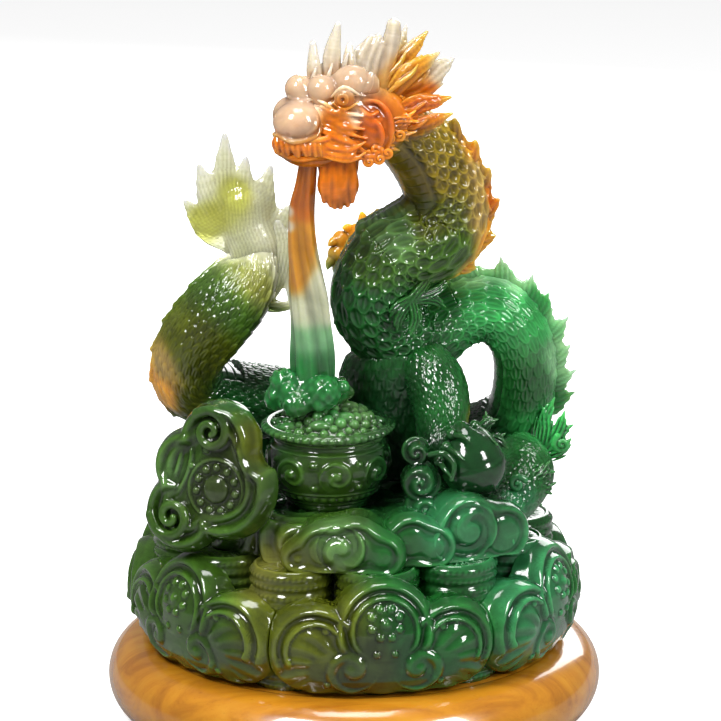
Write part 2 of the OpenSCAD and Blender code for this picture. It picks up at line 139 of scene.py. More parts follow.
# The casting's colour flows from one to the next of these places, in the figurine's own mm, as
# [x, y, z, reach, colour]. They run from the head down the neck and arch, then over the water, the pot,
# the tail and the plinth.
TINTS = [
    (-20, -45, 197, 8, MILK), (-17, -36, 206, 7, MILK), (-2, -38, 209, 8, MILK),
    (-26, -46, 186, 5, AMBER), (-14, -31, 217, 8, PALE), (-6, -29, 223, 9, PALE), (4, -26, 217, 9, PALE),
    (13, -23, 222, 9, PALE), (-8, -29, 206, 4, HONEY), (4, -24, 204, 4, HONEY), (10, -22, 208, 4, HONEY),
    (-16, -45, 184, 7, AMBER), (-6, -44, 193, 6, AMBER), (6, -39, 195, 7, BURNT), (4, -34, 185, 8, AMBER),
    (-3, -42, 202, 4, AMBER), (2, -43, 197, 4, MILK), (-6, -36, 172, 10, AMBER), (20, -24, 210, 8, HONEY),
    (26, -26, 200, 7, AMBER), (18, -28, 194, 7, AMBER), (25, -19, 216, 6, HONEY), (29, -21, 209, 7, PALE),
    (35, -20, 213, 6, PALE), (33, -27, 198, 5, HONEY), (44, -4, 178, 8, HONEY), (48, -3, 160, 5, AMBER),
    (46, -3, 146, 7, HONEY), (38, -2, 138, 8, HONEY), (20, -22, 182, 11, BRONZE), (14, -20, 176, 8, HIDE),
    (27, -14, 170, 10, BRONZE), (42, -10, 170, 6, KHAKI), (43, -10, 156, 6, KHAKI),
    (27, -18, 156, 9, OLIVE), (14, -18, 150, 9, SAGE), (30, -16, 144, 9, MOSS), (6, -20, 140, 9, MOSS),
    (2, 14, 146, 9, HONEY), (2, -12, 128, 12, GREEN), (14, -8, 108, 12, GREEN), (14, -12, 86, 13, DEEP),
    (30, -6, 122, 10, GREEN), (46, 0, 120, 11, BRIGHT), (44, 2, 132, 8, MINT), (58, 8, 130, 9, MINT),
    (71, 10, 116, 7, MINT), (66, 6, 118, 10, BRIGHT), (74, 8, 98, 9, MINT), (62, 6, 92, 10, GREEN),
    (72, 4, 76, 10, BRIGHT), (58, -14, 60, 12, GREEN), (40, -36, 70, 12, DEEP), (32, -18, 90, 10, GREEN),
    (40, -16, 84, 5, OLIVE), (-26, -34, 98, 9, BRIGHT), (-8, -38, 98, 9, BRIGHT),
    (-15, -32, 106, 8, BRIGHT), (-15, -32, 117, 7, MINT), (-16, -33, 126, 6, FROST),
    (-20, -34, 140, 5, HONEY), (-18, -36, 152, 7, HONEY), (-17, -38, 168, 8, AMBER),
    # the three pale places down the left of the falling water paint a highlight streak on it
    (-22, -36, 169, 2.4, PALE), (-22, -36, 163, 2.4, PALE), (-22, -36, 157, 2.4, PALE),
    (-10, -33, 148, 4, FROST), (-11, -34, 137, 5, FROST), (-10, -33, 126, 4, FROST),
    (-9, -30, 86, 14, SAGE), (-9, -48, 68, 12, MOSS), (-4, -60, 52, 8, SAGE), (14, -58, 50, 8, GREEN),
    (34, -52, 54, 12, TEAL), (60, -30, 58, 8, TEAL), (-46, -52, 68, 13, SHADE), (-62, -46, 76, 8, SAGE),
    (-34, -50, 84, 6, OLIVE), (-40, -56, 56, 10, MOSS), (-60, -40, 80, 10, MOSS), (-69, 14, 86, 9, HONEY),
    (-68, 10, 96, 7, KHAKI), (-58, 4, 80, 9, OLIVE), (-44, 24, 84, 14, GREEN), (-54, 8, 104, 12, OLIVE),
    (-44, 12, 116, 11, MOSS), (-36, 12, 124, 8, STRAW), (-36, 18, 132, 6, FROST),
    (-44, 20, 139, 6, FROST), (-51, 18, 147, 7, LIME), (-42, 16, 157, 6, LIME), (-45, 20, 174, 9, FROST),
    (-57, 20, 160, 9, FROST), (-28, 20, 160, 10, FROST), (-36, 20, 168, 8, FROST),
    (-28, 17, 142, 8, FROST), (-25, 17, 126, 8, FROST), (0, 40, 66, 24, DEEP), (0, 0, 46, 40, DEEP),
    (-64, -44, 24, 26, MOSS), (-16, -74, 24, 20, OLIVE), (30, -74, 24, 20, GREEN),
    (4, -78, 14, 12, SHADE), (66, -46, 30, 18, TEAL), (0, 76, 24, 40, GREEN), (-76, 20, 24, 30, MOSS),
    (76, 20, 24, 30, GREEN), (16, -60, 38, 12, GREEN), (-28, -56, 38, 12, MUD), (-20, -60, 38, 10, OLIVE),
]


def tint(points):
    """Colour of the casting at each point: nearer and further-reaching places count for more."""
    out = np.zeros((len(points), 3), np.float32)
    total = np.zeros((len(points), 1), np.float32)
    for *at, reach, rgb in TINTS:
        d2 = ((points - vec(*at)) ** 2).sum(1, keepdims=True) / np.float32(reach) ** 2
        w = 1 / (0.15 + d2) ** 3
        out += w * np.sqrt(vec(*rgb))
        total += w
    return (out / total) ** 2


# ---------------------------------------------------------------- meshes


def add_mesh(name, points, quads, relief, thin=0.0, colour=True, tris=()):
    """A smooth mesh of points in the figurine's own mm."""
    points = np.asarray(points, np.float32)
    quads = np.asarray(quads, np.int32).reshape(-1, 4)
    tris = np.asarray(tris, np.int32).reshape(-1, 3)
    mesh = bpy.data.meshes.new(name)
    world = (points + vec(0, 0, STAND_TOP)) * MM
    mesh.vertices.add(len(points))
    mesh.vertices.foreach_set("co", world.astype(np.float32).ravel())
    mesh.loops.add(quads.size + tris.size)
    mesh.loops.foreach_set("vertex_index", np.concatenate([quads.ravel(), tris.ravel()]))
    starts = np.concatenate([np.arange(len(quads)) * 4, quads.size + np.arange(len(tris)) * 3])
    mesh.polygons.add(len(starts))
    mesh.polygons.foreach_set("loop_start", starts.astype(np.int32))
    mesh.update(calc_edges=True)
    mesh.polygons.foreach_set("use_smooth", np.ones(len(starts), bool))
    if colour:
        rgba = np.ones((len(points), 4), np.float32)
        rgba[:, :3] = tint(points)
        mesh.color_attributes.new("tint", "FLOAT_COLOR", "POINT").data.foreach_set("color", rgba.ravel())
    for key, values in (("relief", relief), ("thin", thin)):
        v = np.broadcast_to(np.asarray(values, np.float32), len(points))
        mesh.attributes.new(key, "FLOAT", "POINT").data.foreach_set("value", v)
    obj = bpy.data.objects.new(name, mesh)
    bpy.context.scene.collection.objects.link(obj)
    return obj


def dress(obj, body, node, material):
    """Gives the piece its finish, makes it move with a body and stand for a CAD node."""
    obj.data.materials.append(material)
    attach(obj, body)
    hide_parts(node)


def sheet_faces(rows, cols, wrap):
    """Quads of a grid of points; wrap joins the last column to the first."""
    i = np.arange(rows - 1)[:, None]
    j = np.arange(cols if wrap else cols - 1)[None]
    a = i * cols + j
    b = i * cols + (j + 1) % cols
    return np.stack([a, b, b + cols, a + cols], -1).reshape(-1, 4)


def capped(rings, relief, thin, name, colour=True):
    """Closed tube through rings of points, shape (rows, columns, 3)."""
    rows, cols = rings.shape[:2]
    ends = np.stack([rings[0].mean(0), rings[-1].mean(0)])
    points = np.concatenate([rings.reshape(-1, 3), ends])
    quads = sheet_faces(rows, cols, True)
    j = np.arange(cols)
    k = (j + 1) % cols
    first, last = rows * cols, rows * cols + 1
    tris = np.concatenate([np.stack([k, j, np.full(cols, first)], 1),
                           np.stack([j + (rows - 1) * cols, k + (rows - 1) * cols, np.full(cols, last)], 1)])
    pad = np.zeros(2, np.float32)
    relief = np.concatenate([np.broadcast_to(relief, (rows, cols)).ravel(), pad])
    thin = np.concatenate([np.broadcast_to(thin, (rows, cols)).ravel(), pad])
    return add_mesh(name, points, quads, relief, thin, colour, tris)


def turned(profile, around, displace=None):
    """Radius, angle, height and relief all over a turned surface: profile is a list of (radius, height)."""
    prof = np.asarray(profile, float)
    r = np.broadcast_to(prof[:, :1], (len(prof), around)).copy()
    z = np.broadcast_to(prof[:, 1:], r.shape).copy()
    a = np.broadcast_to(np.linspace(0, 2 * np.pi, around, endpoint=False), r.shape)
    relief = np.zeros_like(r)
    if displace:
        r, z, relief = displace(r, z, a)
    return r, a, z, relief


def lathe(name, profile, around, centre=(0, 0, 0), displace=None, colour=True):
    """Turned piece, whose profile runs from the axis round to the axis."""
    r, a, z, relief = turned(profile, around, displace)
    rings = np.stack([centre[0] + r * np.cos(a), centre[1] + r * np.sin(a), centre[2] + z], -1)
    return capped(rings, relief, 0.0, name, colour)


# ---------------------------------------------------------------- clay: carving on a fine grid

FAR = 3.0                        # clay keeps no distances beyond this, in mm


def box_blur(a, n):
    """Mean over a cube of 2n+1 cells."""
    for axis in range(3):
        pad = [(0, 0)] * 3
        pad[axis] = (n + 1, n)
        c = np.cumsum(np.pad(a, pad, mode="edge"), axis=axis, dtype=np.float32)
        size = a.shape[axis]
        hi = np.take(c, np.arange(2 * n + 1, 2 * n + 1 + size), axis=axis)
        lo = np.take(c, np.arange(0, size), axis=axis)
        a = (hi - lo) / (2 * n + 1)
    return a


class Clay:
    """Solid kept as distances on a grid, in mm; shapes are pressed in and cut away."""

    def __init__(self, lo, hi, vox=VOX):
        self.lo = np.asarray(lo, np.float32)
        self.vox = vox
        n = np.ceil((np.asarray(hi) - self.lo) / vox).astype(int) + 1
        self.d = np.full(n, FAR, np.float32)

    def block(self, lo, hi):
        a = np.clip(np.floor((np.asarray(lo) - self.lo) / self.vox).astype(int), 0,
                    np.array(self.d.shape) - 2)
        b = np.clip(np.ceil((np.asarray(hi) - self.lo) / self.vox).astype(int) + 1, a + 2, self.d.shape)
        cut = tuple(slice(i, j) for i, j in zip(a, b))
        axes = [(np.arange(i, j) * self.vox + o).astype(np.float32) for i, j, o in zip(a, b, self.lo)]
        return cut, np.meshgrid(*axes, indexing="ij", sparse=True)

    def press(self, lo, hi, shape, k=0.0, cut=False):
        """Adds a shape, a function of (x, y, z) that is negative inside, or cuts it away; k blends it in."""
        where, (x, y, z) = self.block(np.asarray(lo) - 2 - k, np.asarray(hi) + 2 + k)
        d = shape(x, y, z).astype(np.float32)
        old = self.d[where]
        self.d[where] = smax(old, -d, k) if cut else smin(old, d, k)

    def ball(self, c, r, k=0.0, cut=False, squash=(1, 1, 1)):
        s = np.asarray(squash, float)
        reach = r * s.max()

        def shape(x, y, z):
            q = np.sqrt(((x - c[0]) / s[0]) ** 2 + ((y - c[1]) / s[1]) ** 2 + ((z - c[2]) / s[2]) ** 2)
            return (q - r) * s.min()
        self.press(np.asarray(c) - reach, np.asarray(c) + reach, shape, k, cut)

    def lump(self, c, r, k, carve):
        """Ball whose surface is raised by carve, a function of the place from its centre."""
        def shape(x, y, z):
            dx, dy, dz = x - c[0], y - c[1], z - c[2]
            return np.sqrt(dx * dx + dy * dy + dz * dz) - r - carve(dx, dy, dz)
        self.press(np.asarray(c) - r, np.asarray(c) + r, shape, k)

    def trim_below(self, height):
        z = (np.arange(self.d.shape[2]) * self.vox + self.lo[2]).astype(np.float32)
        self.d = np.maximum(self.d, height - z)

    def limb(self, points, k=0.0, flat=(0, 1, 0), thin=1.0, flute=None, rings=None, steps=4):
        """Rounded strand through [x, y, z, radius]; thin squashes it along flat, flute ribs it
        lengthways and rings rib it crossways, each given as (pitch, height)."""
        line = spline(points, steps)
        run = np.concatenate([[0], np.cumsum(np.linalg.norm(np.diff(line[:, :3], axis=0), axis=1))])
        widest = line[:, 3].max()
        f = unit(flat)

        def stretch(a, b, start, x, y, z):
            ab = b[:3] - a[:3]
            px, py, pz = x - a[0], y - a[1], z - a[2]
            t = np.clip((px * ab[0] + py * ab[1] + pz * ab[2]) / max(ab @ ab, 1e-9), 0, 1)
            px, py, pz = px - t * ab[0], py - t * ab[1], pz - t * ab[2]
            r = a[3] + t * (b[3] - a[3])
            q = px * px + py * py + pz * pz
            if thin == 1:
                d = np.sqrt(q) - r
            else:
                off = px * f[0] + py * f[1] + pz * f[2]
                d = (np.sqrt(q + off ** 2 * (1 / thin ** 2 - 1)) - r) * thin
            if flute is not None:
                side = unit(np.cross(ab, f))
                across = px * side[0] + py * side[1] + pz * side[2]
                d = d - flute[1] * np.clip(r / widest, 0.25, 1) * np.cos(across * 2 * np.pi / flute[0])
            if rings is not None:
                d = d - rings[1] * np.cos((start + t * np.linalg.norm(ab)) * 2 * np.pi / rings[0])
            return d

        def shape(x, y, z):
            best = np.full(np.broadcast(x, y, z).shape, 50.0, np.float32)
            axes = (x.ravel(), y.ravel(), z.ravel())
            for a, b, start in zip(line[:-1], line[1:], run):
                reach = max(a[3], b[3]) + 2.5 + k
                cut_out = []
                for axis, p, q in zip(axes, a, b):
                    i, j = np.searchsorted(axis, [min(p, q) - reach, max(p, q) + reach])
                    cut_out.append(slice(i, max(j, i + 1)))
                i, j, m = cut_out
                part = stretch(a, b, start, x[i], y[:, j], z[:, :, m])
                best[i, j, m] = np.minimum(best[i, j, m], part)
            return best
        lo = (line[:, :3] - line[:, 3:4]).min(0)
        hi = (line[:, :3] + line[:, 3:4]).max(0)
        self.press(lo, hi, shape, k)

    def mesh(self, name, turn=None, thin_scale=4.0, shift=(0, 0, 0)):
        d = self.d.copy()
        d[0], d[-1], d[:, 0], d[:, -1], d[:, :, 0], d[:, :, -1] = (FAR,) * 6
        grid = openvdb.FloatGrid(FAR)
        grid.copyFromArray(np.clip(d, -FAR, FAR), tolerance=0.0)
        cells, quads = grid.convertToQuads(0.0)
        n = np.clip(np.rint(cells).astype(int), 0, np.array(d.shape) - 1)
        at = (n[:, 0], n[:, 1], n[:, 2])
        near = np.clip(d, -2.0, 2.0)
        relief = box_blur(near, 2)[at] - near[at]
        solid = box_blur((d < 0).astype(np.float32), max(int(thin_scale / self.vox / 2), 1))[at]
        points = cells * self.vox + self.lo
        if turn is not None:
            points = points @ turn.T.astype(np.float32)
        points = points + vec(*shift)
        return add_mesh(name, points, quads, relief / self.vox, np.clip(1 - solid * 2, 0, 1))


def turn_z(degrees):
    a = math.radians(degrees)
    return np.array([[math.cos(a), -math.sin(a), 0], [math.sin(a), math.cos(a), 0], [0, 0, 1]])


# ---------------------------------------------------------------- materials


class Recipe:
    """A material's nodes; a setting is a number, a colour or another node's output."""

    def __init__(self, name):
        self.mat = bpy.data.materials.new(name)
        self.mat.use_nodes = True
        self.tree = self.mat.node_tree
        self.bsdf = self.tree.nodes["Principled BSDF"]

    def add(self, kind, settings=(), **props):
        n = self.tree.nodes.new("ShaderNode" + kind)
        for key, value in props.items():
            setattr(n, key, value)
        self.set(n, settings)
        return n

    def set(self, n, settings):
        for key, value in dict(settings).items():
            if isinstance(value, bpy.types.NodeSocket):
                self.tree.links.new(value, n.inputs[key])
            else:
                n.inputs[key].default_value = value

    def noise(self, where, scale, detail, roughness=0.5, distortion=0.0):
        return self.add("TexNoise", {"Vector": where, "Scale": scale, "Detail": detail,
                                     "Roughness": roughness, "Distortion": distortion}).outputs["Fac"]

    def spread(self, value, low, high, start=0.0, end=1.0):
        """The value from start to end, stretched to run from low to high."""
        return self.add("MapRange", {"Value": value, "From Min": start, "From Max": end, "To Min": low,
                                     "To Max": high}).outputs["Result"]

    def ramp(self, value, stops):
        """Colours at places along the value, given as [place, colour] with the ends first."""
        n = self.add("ValToRGB", {"Fac": value})
        for element, (place, colour) in zip(n.color_ramp.elements, stops):
            element.position = place
            element.color = (*colour, 1)
        for place, colour in stops[2:]:
            n.color_ramp.elements.new(place).color = (*colour, 1)
        return n.outputs["Color"]

    def bumps(self, height, strength, distance):
        return self.add("Bump", {"Height": height, "Strength": strength,
                                 "Distance": distance}).outputs["Normal"]


def jade(name, glow=0.7, gloss=0.10, reach=0.004, mottling=0.35, see_through=0.0):
    """Polished resin: colour from the casting's tint, cloudy inside, with painted shade in the hollows, a
    painted highlight on the ridges and a painted glow on thin edges.
    """
    m = Recipe(name)
    colour, relief, thin = (m.add("Attribute", attribute_name=key) for key in ("tint", "relief", "thin"))
    where = m.add("TexCoord").outputs["Object"]
    veil = m.spread(m.noise(where, 70.0, 4.0, 0.6, 0.8), 1 - mottling, 1 + mottling, 0.35, 0.7)
    # painted shade darkens the hollows and a painted highlight lightens the ridges, both following the carved
    # relief
    hollow = m.spread(relief.outputs["Fac"], 0.55, 1.6, -0.5, 0.6)
    gain = m.add("Math", {0: veil, 1: hollow}, operation="MULTIPLY").outputs["Value"]
    lit = m.add("VectorMath", {0: colour.outputs["Color"], "Scale": gain},
                operation="SCALE").outputs["Vector"]
    # thin edges are painted lighter: a painted glow of light coming through them
    glow_share = m.add("Math", {0: thin.outputs["Fac"], 1: 0.45}, operation="MULTIPLY").outputs["Value"]
    painted_glow = m.add("VectorMath", {0: lit, 1: (1.5, 1.5, 1.5), 2: (0.02, 0.04, 0.012)},
                     operation="MULTIPLY_ADD")
    pale = m.add("Mix", {"Factor": glow_share, "A": lit, "B": painted_glow.outputs["Vector"]}, data_type="RGBA")
    rough = m.spread(m.noise(where, 420.0, 2.0), gloss * 0.7, gloss * 1.3)
    m.set(m.bsdf, {
        "Base Color": pale.outputs["Result"], "Roughness": rough,
        "Normal": m.bumps(m.noise(where, 900.0, 3.0), 0.08, 0.0004),
        "Subsurface Weight": glow, "Subsurface Radius": (1.0, 1.0, 0.7), "Subsurface Scale": reach,
                   "IOR": 1.52,
        "Transmission Weight": see_through, "Coat Weight": 0.25, "Coat Roughness": 0.03})
    return m.mat


def wood(name):
    """Honey-coloured wood with soft growth rings under a thick gloss lacquer."""
    m = Recipe(name)
    where = m.add("TexCoord").outputs["Object"]
    along = m.add("Mapping", {"Vector": where, "Scale": (1.0, 7.0, 7.0)}).outputs["Vector"]
    growth = m.ramp(m.noise(along, 9.0, 6.0, 0.62, 1.2),
                    [(0.30, (0.34, 0.115, 0.006)), (0.72, (0.60, 0.27, 0.018)), (0.5, (0.52, 0.205, 0.010))])
    pores = m.noise(along, 160.0, 3.0, 0.7)
    dark = m.add("Mix", {"Factor": m.spread(pores, 0.0, 1.0, 0.62, 0.78), "A": growth,
                         "B": (0.72, 0.6, 0.45, 1)}, data_type="RGBA", blend_type="MULTIPLY")
    m.set(m.bsdf, {"Base Color": dark.outputs["Result"], "Roughness": m.spread(pores, 0.16, 0.3),
                   "Coat Weight": 0.7, "Coat Roughness": 0.06, "Subsurface Weight": 0.08,
                   "Subsurface Scale": 0.002})
    return m.mat


def felt(name):
    m = Recipe(name)
    fuzz = m.noise(m.add("TexCoord").outputs["Object"], 700.0, 5.0, 0.8)
    m.set(m.bsdf, {"Base Color": m.ramp(fuzz, [(0.3, (0.006, 0.03, 0.012)), (0.75, (0.03, 0.11, 0.05))]),
                   "Normal": m.bumps(fuzz, 0.6, 0.0005), "Roughness": 0.95, "Sheen Weight": 0.4})
    return m.mat


JADE = jade("jade")
CLEAR = jade("jade_thin", glow=0.8, gloss=0.08, reach=0.006, mottling=0.15, see_through=0.42)
WOOD = wood("lacquered_wood")
FELT = felt("felt")

# how far each piece of the head is let down from its own points, in mm
HEAD_DROP = {"dragon_skull": 3.2, "nostril_bulbs": 4.4, "brow_bulbs": 4.6, "dragon_eyes": 3.4,
             "upper_teeth": 2.4, "crown_spikes": 5.2, "horns": 5, "mane_strands": 3.2}


def show(clay, name, node, material=JADE, thin_scale=4.0, turn=None, shift=(0, 0, 0)):
    """Makes the clay a finished piece of the casting, in place of a CAD node."""
    shift = vec(*shift) - vec(0, 0, HEAD_DROP.get(node, 0))
    dress(clay.mesh(name, turn, thin_scale, shift), "figurine", node, material)


# ---------------------------------------------------------------- stand

STAND_D = 176.0                  # across the stand, in mm
FELT_T = 2.0                     # thickness of the pad under it


def build_stand():
    edge = (STAND_TOP - FELT_T) / 2
    reach = STAND_D / 2
    profile = [(0.5, FELT_T), (reach - edge - 1, FELT_T)]
    for a in np.radians(np.linspace(-90, 90, 40)):
        profile.append((reach - edge + edge * math.cos(a), FELT_T + edge + edge * math.sin(a)))
    # a fine turned line on the top, where the edge begins
    groove = reach - edge - 1.5
    profile += [(groove + 0.7, STAND_TOP), (groove + 0.2, STAND_TOP - 0.25), (groove - 0.3, STAND_TOP)]
    profile += [(r, STAND_TOP) for r in (60, 40, 20, 0.5)]
    stand = lathe("stand_turned", profile, 256, (0, 0, -STAND_TOP), colour=False)
    dress(stand, "stand", "wooden_stand", WOOD)

    def nap(r, z, a):
        ragged = 0.25 * np.sin(37 * a) * (r > 60) + 0.2 * np.sin(83 * a + 1) * (r > 60)
        return r + ragged, z, np.zeros_like(r)
    rim = STAND_D / 2 - 14
    profile = [(0.5, 0), (rim - 0.5, 0), (rim, 0.4), (rim, FELT_T - 0.3), (rim - 0.4, FELT_T), (0.5, FELT_T)]
    pad = lathe("felt_disc", profile, 360, (0, 0, -STAND_TOP), nap, colour=False)
    dress(pad, "stand", "felt_base_pad", FELT)


# ---------------------------------------------------------------- dragon's body

# centre line of the body from the head to the tail as [x, y, z, radius]
SPINE = [
    (8, -24, 193, 10), (21, -13, 180, 12.8), (29.5, -6, 166, 14.6), (31.5, -4, 153, 15),
    (26.5, -6, 146, 15), (13, -8, 142, 14.8), (5, -6, 126, 14.5), (11, 0, 112, 13.5),
    (25, 4, 108, 12.5), (37, 7, 115, 12), (49, 8, 116, 12), (58, 9, 106, 11.5),
    (60, 12, 90, 11.5), (56, 18, 73, 12), (40, 29, 62, 13), (18, 37, 61, 13.5),
    (-6, 40, 66, 13.5), (-27, 36, 74, 13.5), (-46, 29, 80, 12.5), (-58, 21, 87, 12.5),
    (-57, 16, 99, 13), (-49.5, 15, 110, 13.8), (-41, 16, 120, 13), (-35, 18, 129.5, 9.8), (-34, 19, 138, 6.2),
]
SPINE_STEPS = 12                 # steps of the curve between neighbours of SPINE
AROUND = 252                     # points round the body
# beyond this angle from the back, in degrees, the body carries belly plates: [point of SPINE, angle]
BELLY = np.array([(0, 88), (2, 100), (3.4, 150), (9, 150), (11, 132), (24, 138)], float)
# each stretch of the body: [first and last point of SPINE, distance between rows of scales, scales round it]
STRETCHES = {"neck": (0, 5, 4.0, 17), "chest": (5, 9, 4.0, 17), "arch": (9, 13, 4.0, 17),
             "lower_coil": (13, 18, 3.3, 23), "tail": (18, 24, 3.3, 23)}


def spine_frame(curve):
    """Heading, back direction and side direction at each point of the body's centre line."""
    heading = unit(np.gradient(curve[:, :3], axis=0))
    back = unit(np.cross(heading, (0, 1, 0)))
    return heading, back, np.cross(back, heading)


def scale_relief(u, phi, radius, length, count, hollow=0.2):
    """Height of domed or hollow leaf-shaped scales, at u along the body and phi round from the back."""
    floor_at = -0.5
    height = np.full(np.broadcast(u, phi).shape, floor_at, np.float32)
    pitch = 2 * np.pi / count
    base = np.floor(u / length)
    for row_step in (-1, 0, 1, 2):
        row = base + row_step
        shift = (row % 2) * 0.5
        column = np.round(phi / pitch - shift) + shift
        du = (u - row * length) / length
        dv = (phi - column * pitch) / pitch
        taper = 1 - 0.22 * du                       # narrower towards the tail
        q = np.sqrt((du / 0.80) ** 2 + (dv / (0.55 * taper)) ** 2)
        pad = smooth(1.0, 0.62 + 0.22 * hollow, q) * (0.62 + 0.34 * du)
        rim = 0.66 * hollow * bump(q, 0.78, 0.22)
        dish = -0.4 * hollow * smooth(0.66, 0.3, q)
        keel = 0.34 * bump(dv, 0, 0.13) * smooth(0.62, 0.4, q)
        height = np.maximum(height, np.where(q < 1.0, floor_at + pad + rim + dish + keel, floor_at))
    return (height + 0.1) * np.clip(radius / 13, 0.5, 1)


def belly_relief(u, edge):
    """Broad overlapping plates across the belly, edge is 0 where they begin and 1 in their middle."""
    t = (u / 4.6) % 1
    plate = 0.3 * t ** 1.6 - 0.1 - 0.2 * bump(t, 0.0, 0.14) - 0.2 * bump(t, 1.0, 0.14)
    return plate * smooth(0, 0.25, edge)


def body_piece(name, node, first, last, row, count, belly):
    """Scaled stretch of the body between two points of SPINE."""
    coarse = spline(SPINE, SPINE_STEPS)
    run = np.concatenate([[0], np.cumsum(np.linalg.norm(np.diff(coarse[:, :3], axis=0), axis=1))])
    _, back, side = spine_frame(coarse)
    start, end = run[first * SPINE_STEPS], run[last * SPINE_STEPS]
    u = np.linspace(start, end, int((end - start) / 0.33) + 1)

    def at(a):
        return np.stack([np.interp(u, run, a[:, k]) for k in range(a.shape[1])], 1)
    centre = at(coarse)
    back, side = unit(at(back)), unit(at(side))
    phi = np.linspace(-np.pi, np.pi, AROUND, endpoint=False)[None]
    along = u[:, None]
    radius = centre[:, 3:4]
    place = np.interp(u, run, np.arange(len(run)) / SPINE_STEPS)
    scales = scale_relief(along, phi, radius, row, count,
                          np.interp(place, (6, 10, 13), (1, 0.5, 0.2))[:, None])
    # the scales die away into the tail fin
    scales = scales * smooth(run[-1] - 1, run[-1] - 8, along)
    if belly:
        bare = np.radians(np.interp(place, BELLY[:, 0], BELLY[:, 1]))[:, None]
        edge = (np.abs(phi) - bare) / (np.pi - bare)
        plates = belly_relief(along, edge)
        blend = smooth(-0.06, 0.06, edge)
        seam = -0.5 * bump(edge, 0.0, 0.09) + 0.35 * bump(edge, -0.12, 0.1)
        height = scales * (1 - blend) + plates * blend + seam
        squash = 1 - 0.10 * blend * smooth(0, 1, edge)
    else:
        height = scales
        squash = 1.0
    # a low ridge runs down the back
    height = height + 0.9 * bump(phi, 0, 0.16)
    r = radius * squash + height
    p = (centre[:, None, :3] + (r * np.cos(phi))[..., None] * back[:, None]
         + (r * np.sin(phi))[..., None] * side[:, None])
    dress(capped(p, np.clip(height * 0.8, -0.6, 0.8), 0.0, name), "figurine", node, JADE)


def build_body():
    for part, (first, last, row, count) in STRETCHES.items():
        body_piece(part + "_scaled", "dragon_" + part, first, last, row, count, part != "lower_coil")
    # skin gathered in the crook under the throat
    clay = Clay((0, -22, 143), (32, 8, 168), 0.33)
    for y in (-12, -6):
        clay.limb([(4, y, 149.5, 3.6), (12, y, 153.0, 4.4), (18.6, y, 157.4, 4.2), (20.5, y, 162, 2.6)], 2.5,
                  rings=(2.6, 0.14))
    show(clay, "crook_skin", "dragon_chest")


# ---------------------------------------------------------------- carved patterns


def volute(x, z, pitch, sense=1, start=0.0):
    """Spiral ridge round the origin: 1 on its crest, -1 in its groove."""
    return np.cos(2 * np.pi * np.hypot(x, z) / pitch - sense * np.arctan2(z, x) + start)


def rosette(x, z, r, pitch, sense=1, height=0.8, start=0.0):
    """Volute that fills a circle of radius r round the origin, with a bead at its centre."""
    rho = np.hypot(x, z)
    inside = smooth(r, r * 0.86, rho) * smooth(0, pitch * 0.6, rho)
    return height * (volute(x, z, pitch, sense, start) * inside + 1.3 * bump(rho, 0, pitch * 0.62))


def beads(x, z, places, r, height):
    total = 0
    for px, pz in places:
        total = total + height * np.sqrt(np.clip(1 - ((x - px) ** 2 + (z - pz) ** 2) / r ** 2, 0, 1))
    return total


def around_point(cx, cz, r, count, start=0.0):
    a = np.radians(start) + np.arange(count) * 2 * np.pi / count
    return list(zip(cx + r * np.cos(a), cz + r * np.sin(a)))


def discs(x, z, rows, k=1.5):
    """Flat outline of overlapping circles [x, z, radius], negative inside."""
    d = np.full(np.broadcast(x, z).shape, 100.0, np.float32)
    for cx, cz, r in rows:
        d = smin(d, np.hypot(x - cx, z - cz) - r, k)
    return d


def slab(u, w, half, edge):
    """Plate with rounded edges: u is the distance to its flat outline, w the distance off its middle."""
    a, b = u + edge, np.abs(w) - half + edge
    return np.hypot(np.maximum(a, 0), np.maximum(b, 0)) + np.minimum(np.maximum(a, b), 0) - edge


def turn_x(degrees):
    a = math.radians(degrees)
    return np.array([[1, 0, 0], [0, math.cos(a), -math.sin(a)], [0, math.sin(a), math.cos(a)]])


# ---------------------------------------------------------------- plinth

PLINTH_H = 42.0                  # top of the coins and panels, in mm over the stand
PANEL_TURN = 8.0                 # the front panel faces a little to the right
STACK_RING = 57.0                # the coin stacks' distance from the middle
STACKS = 12
COIN_R = 14.65
COINS = 6                        # coins in a stack
COIN_AROUND = 88                 # points round a coin
PANELS = ["front", "front_right", "back_right", "back", "back_left", "front_left"]
# the ground of a panel as [height, distance from the middle]
PANEL_SKIN = np.array([(0, 76), (7, 79), (15, 80), (24, 79.4), (32, 77.6), (42, 74)], float)


def build_core():
    def seats(r, z, a):
        gap = 2 * np.pi / STACKS
        off = (a + np.pi / 2 - np.radians(PANEL_TURN) + gap / 2) % gap - gap / 2
        inside = np.clip(COIN_R ** 2 - (STACK_RING * np.sin(off)) ** 2, 0, None)
        limit = STACK_RING * np.cos(off) - np.sqrt(inside) - 0.05
        swirl = 0.4 * np.cos(6 * a + r * 0.4) * (r < 38) * (r > 2)
        return np.minimum(r, limit), z + swirl * np.sign(z - 20), swirl
    profile = [(r, 0.5) for r in (0.5, 10, 20, 30, 38, 42)] + [(55.5, 0.1), (55.5, 20), (55.5, PLINTH_H)]
    profile += [(r, PLINTH_H - 0.5) for r in (42, 38, 30, 20, 10, 0.5)]
    core = lathe("plinth_heart", profile, 360, displace=seats)
    dress(core, "figurine", "plinth_core", JADE)


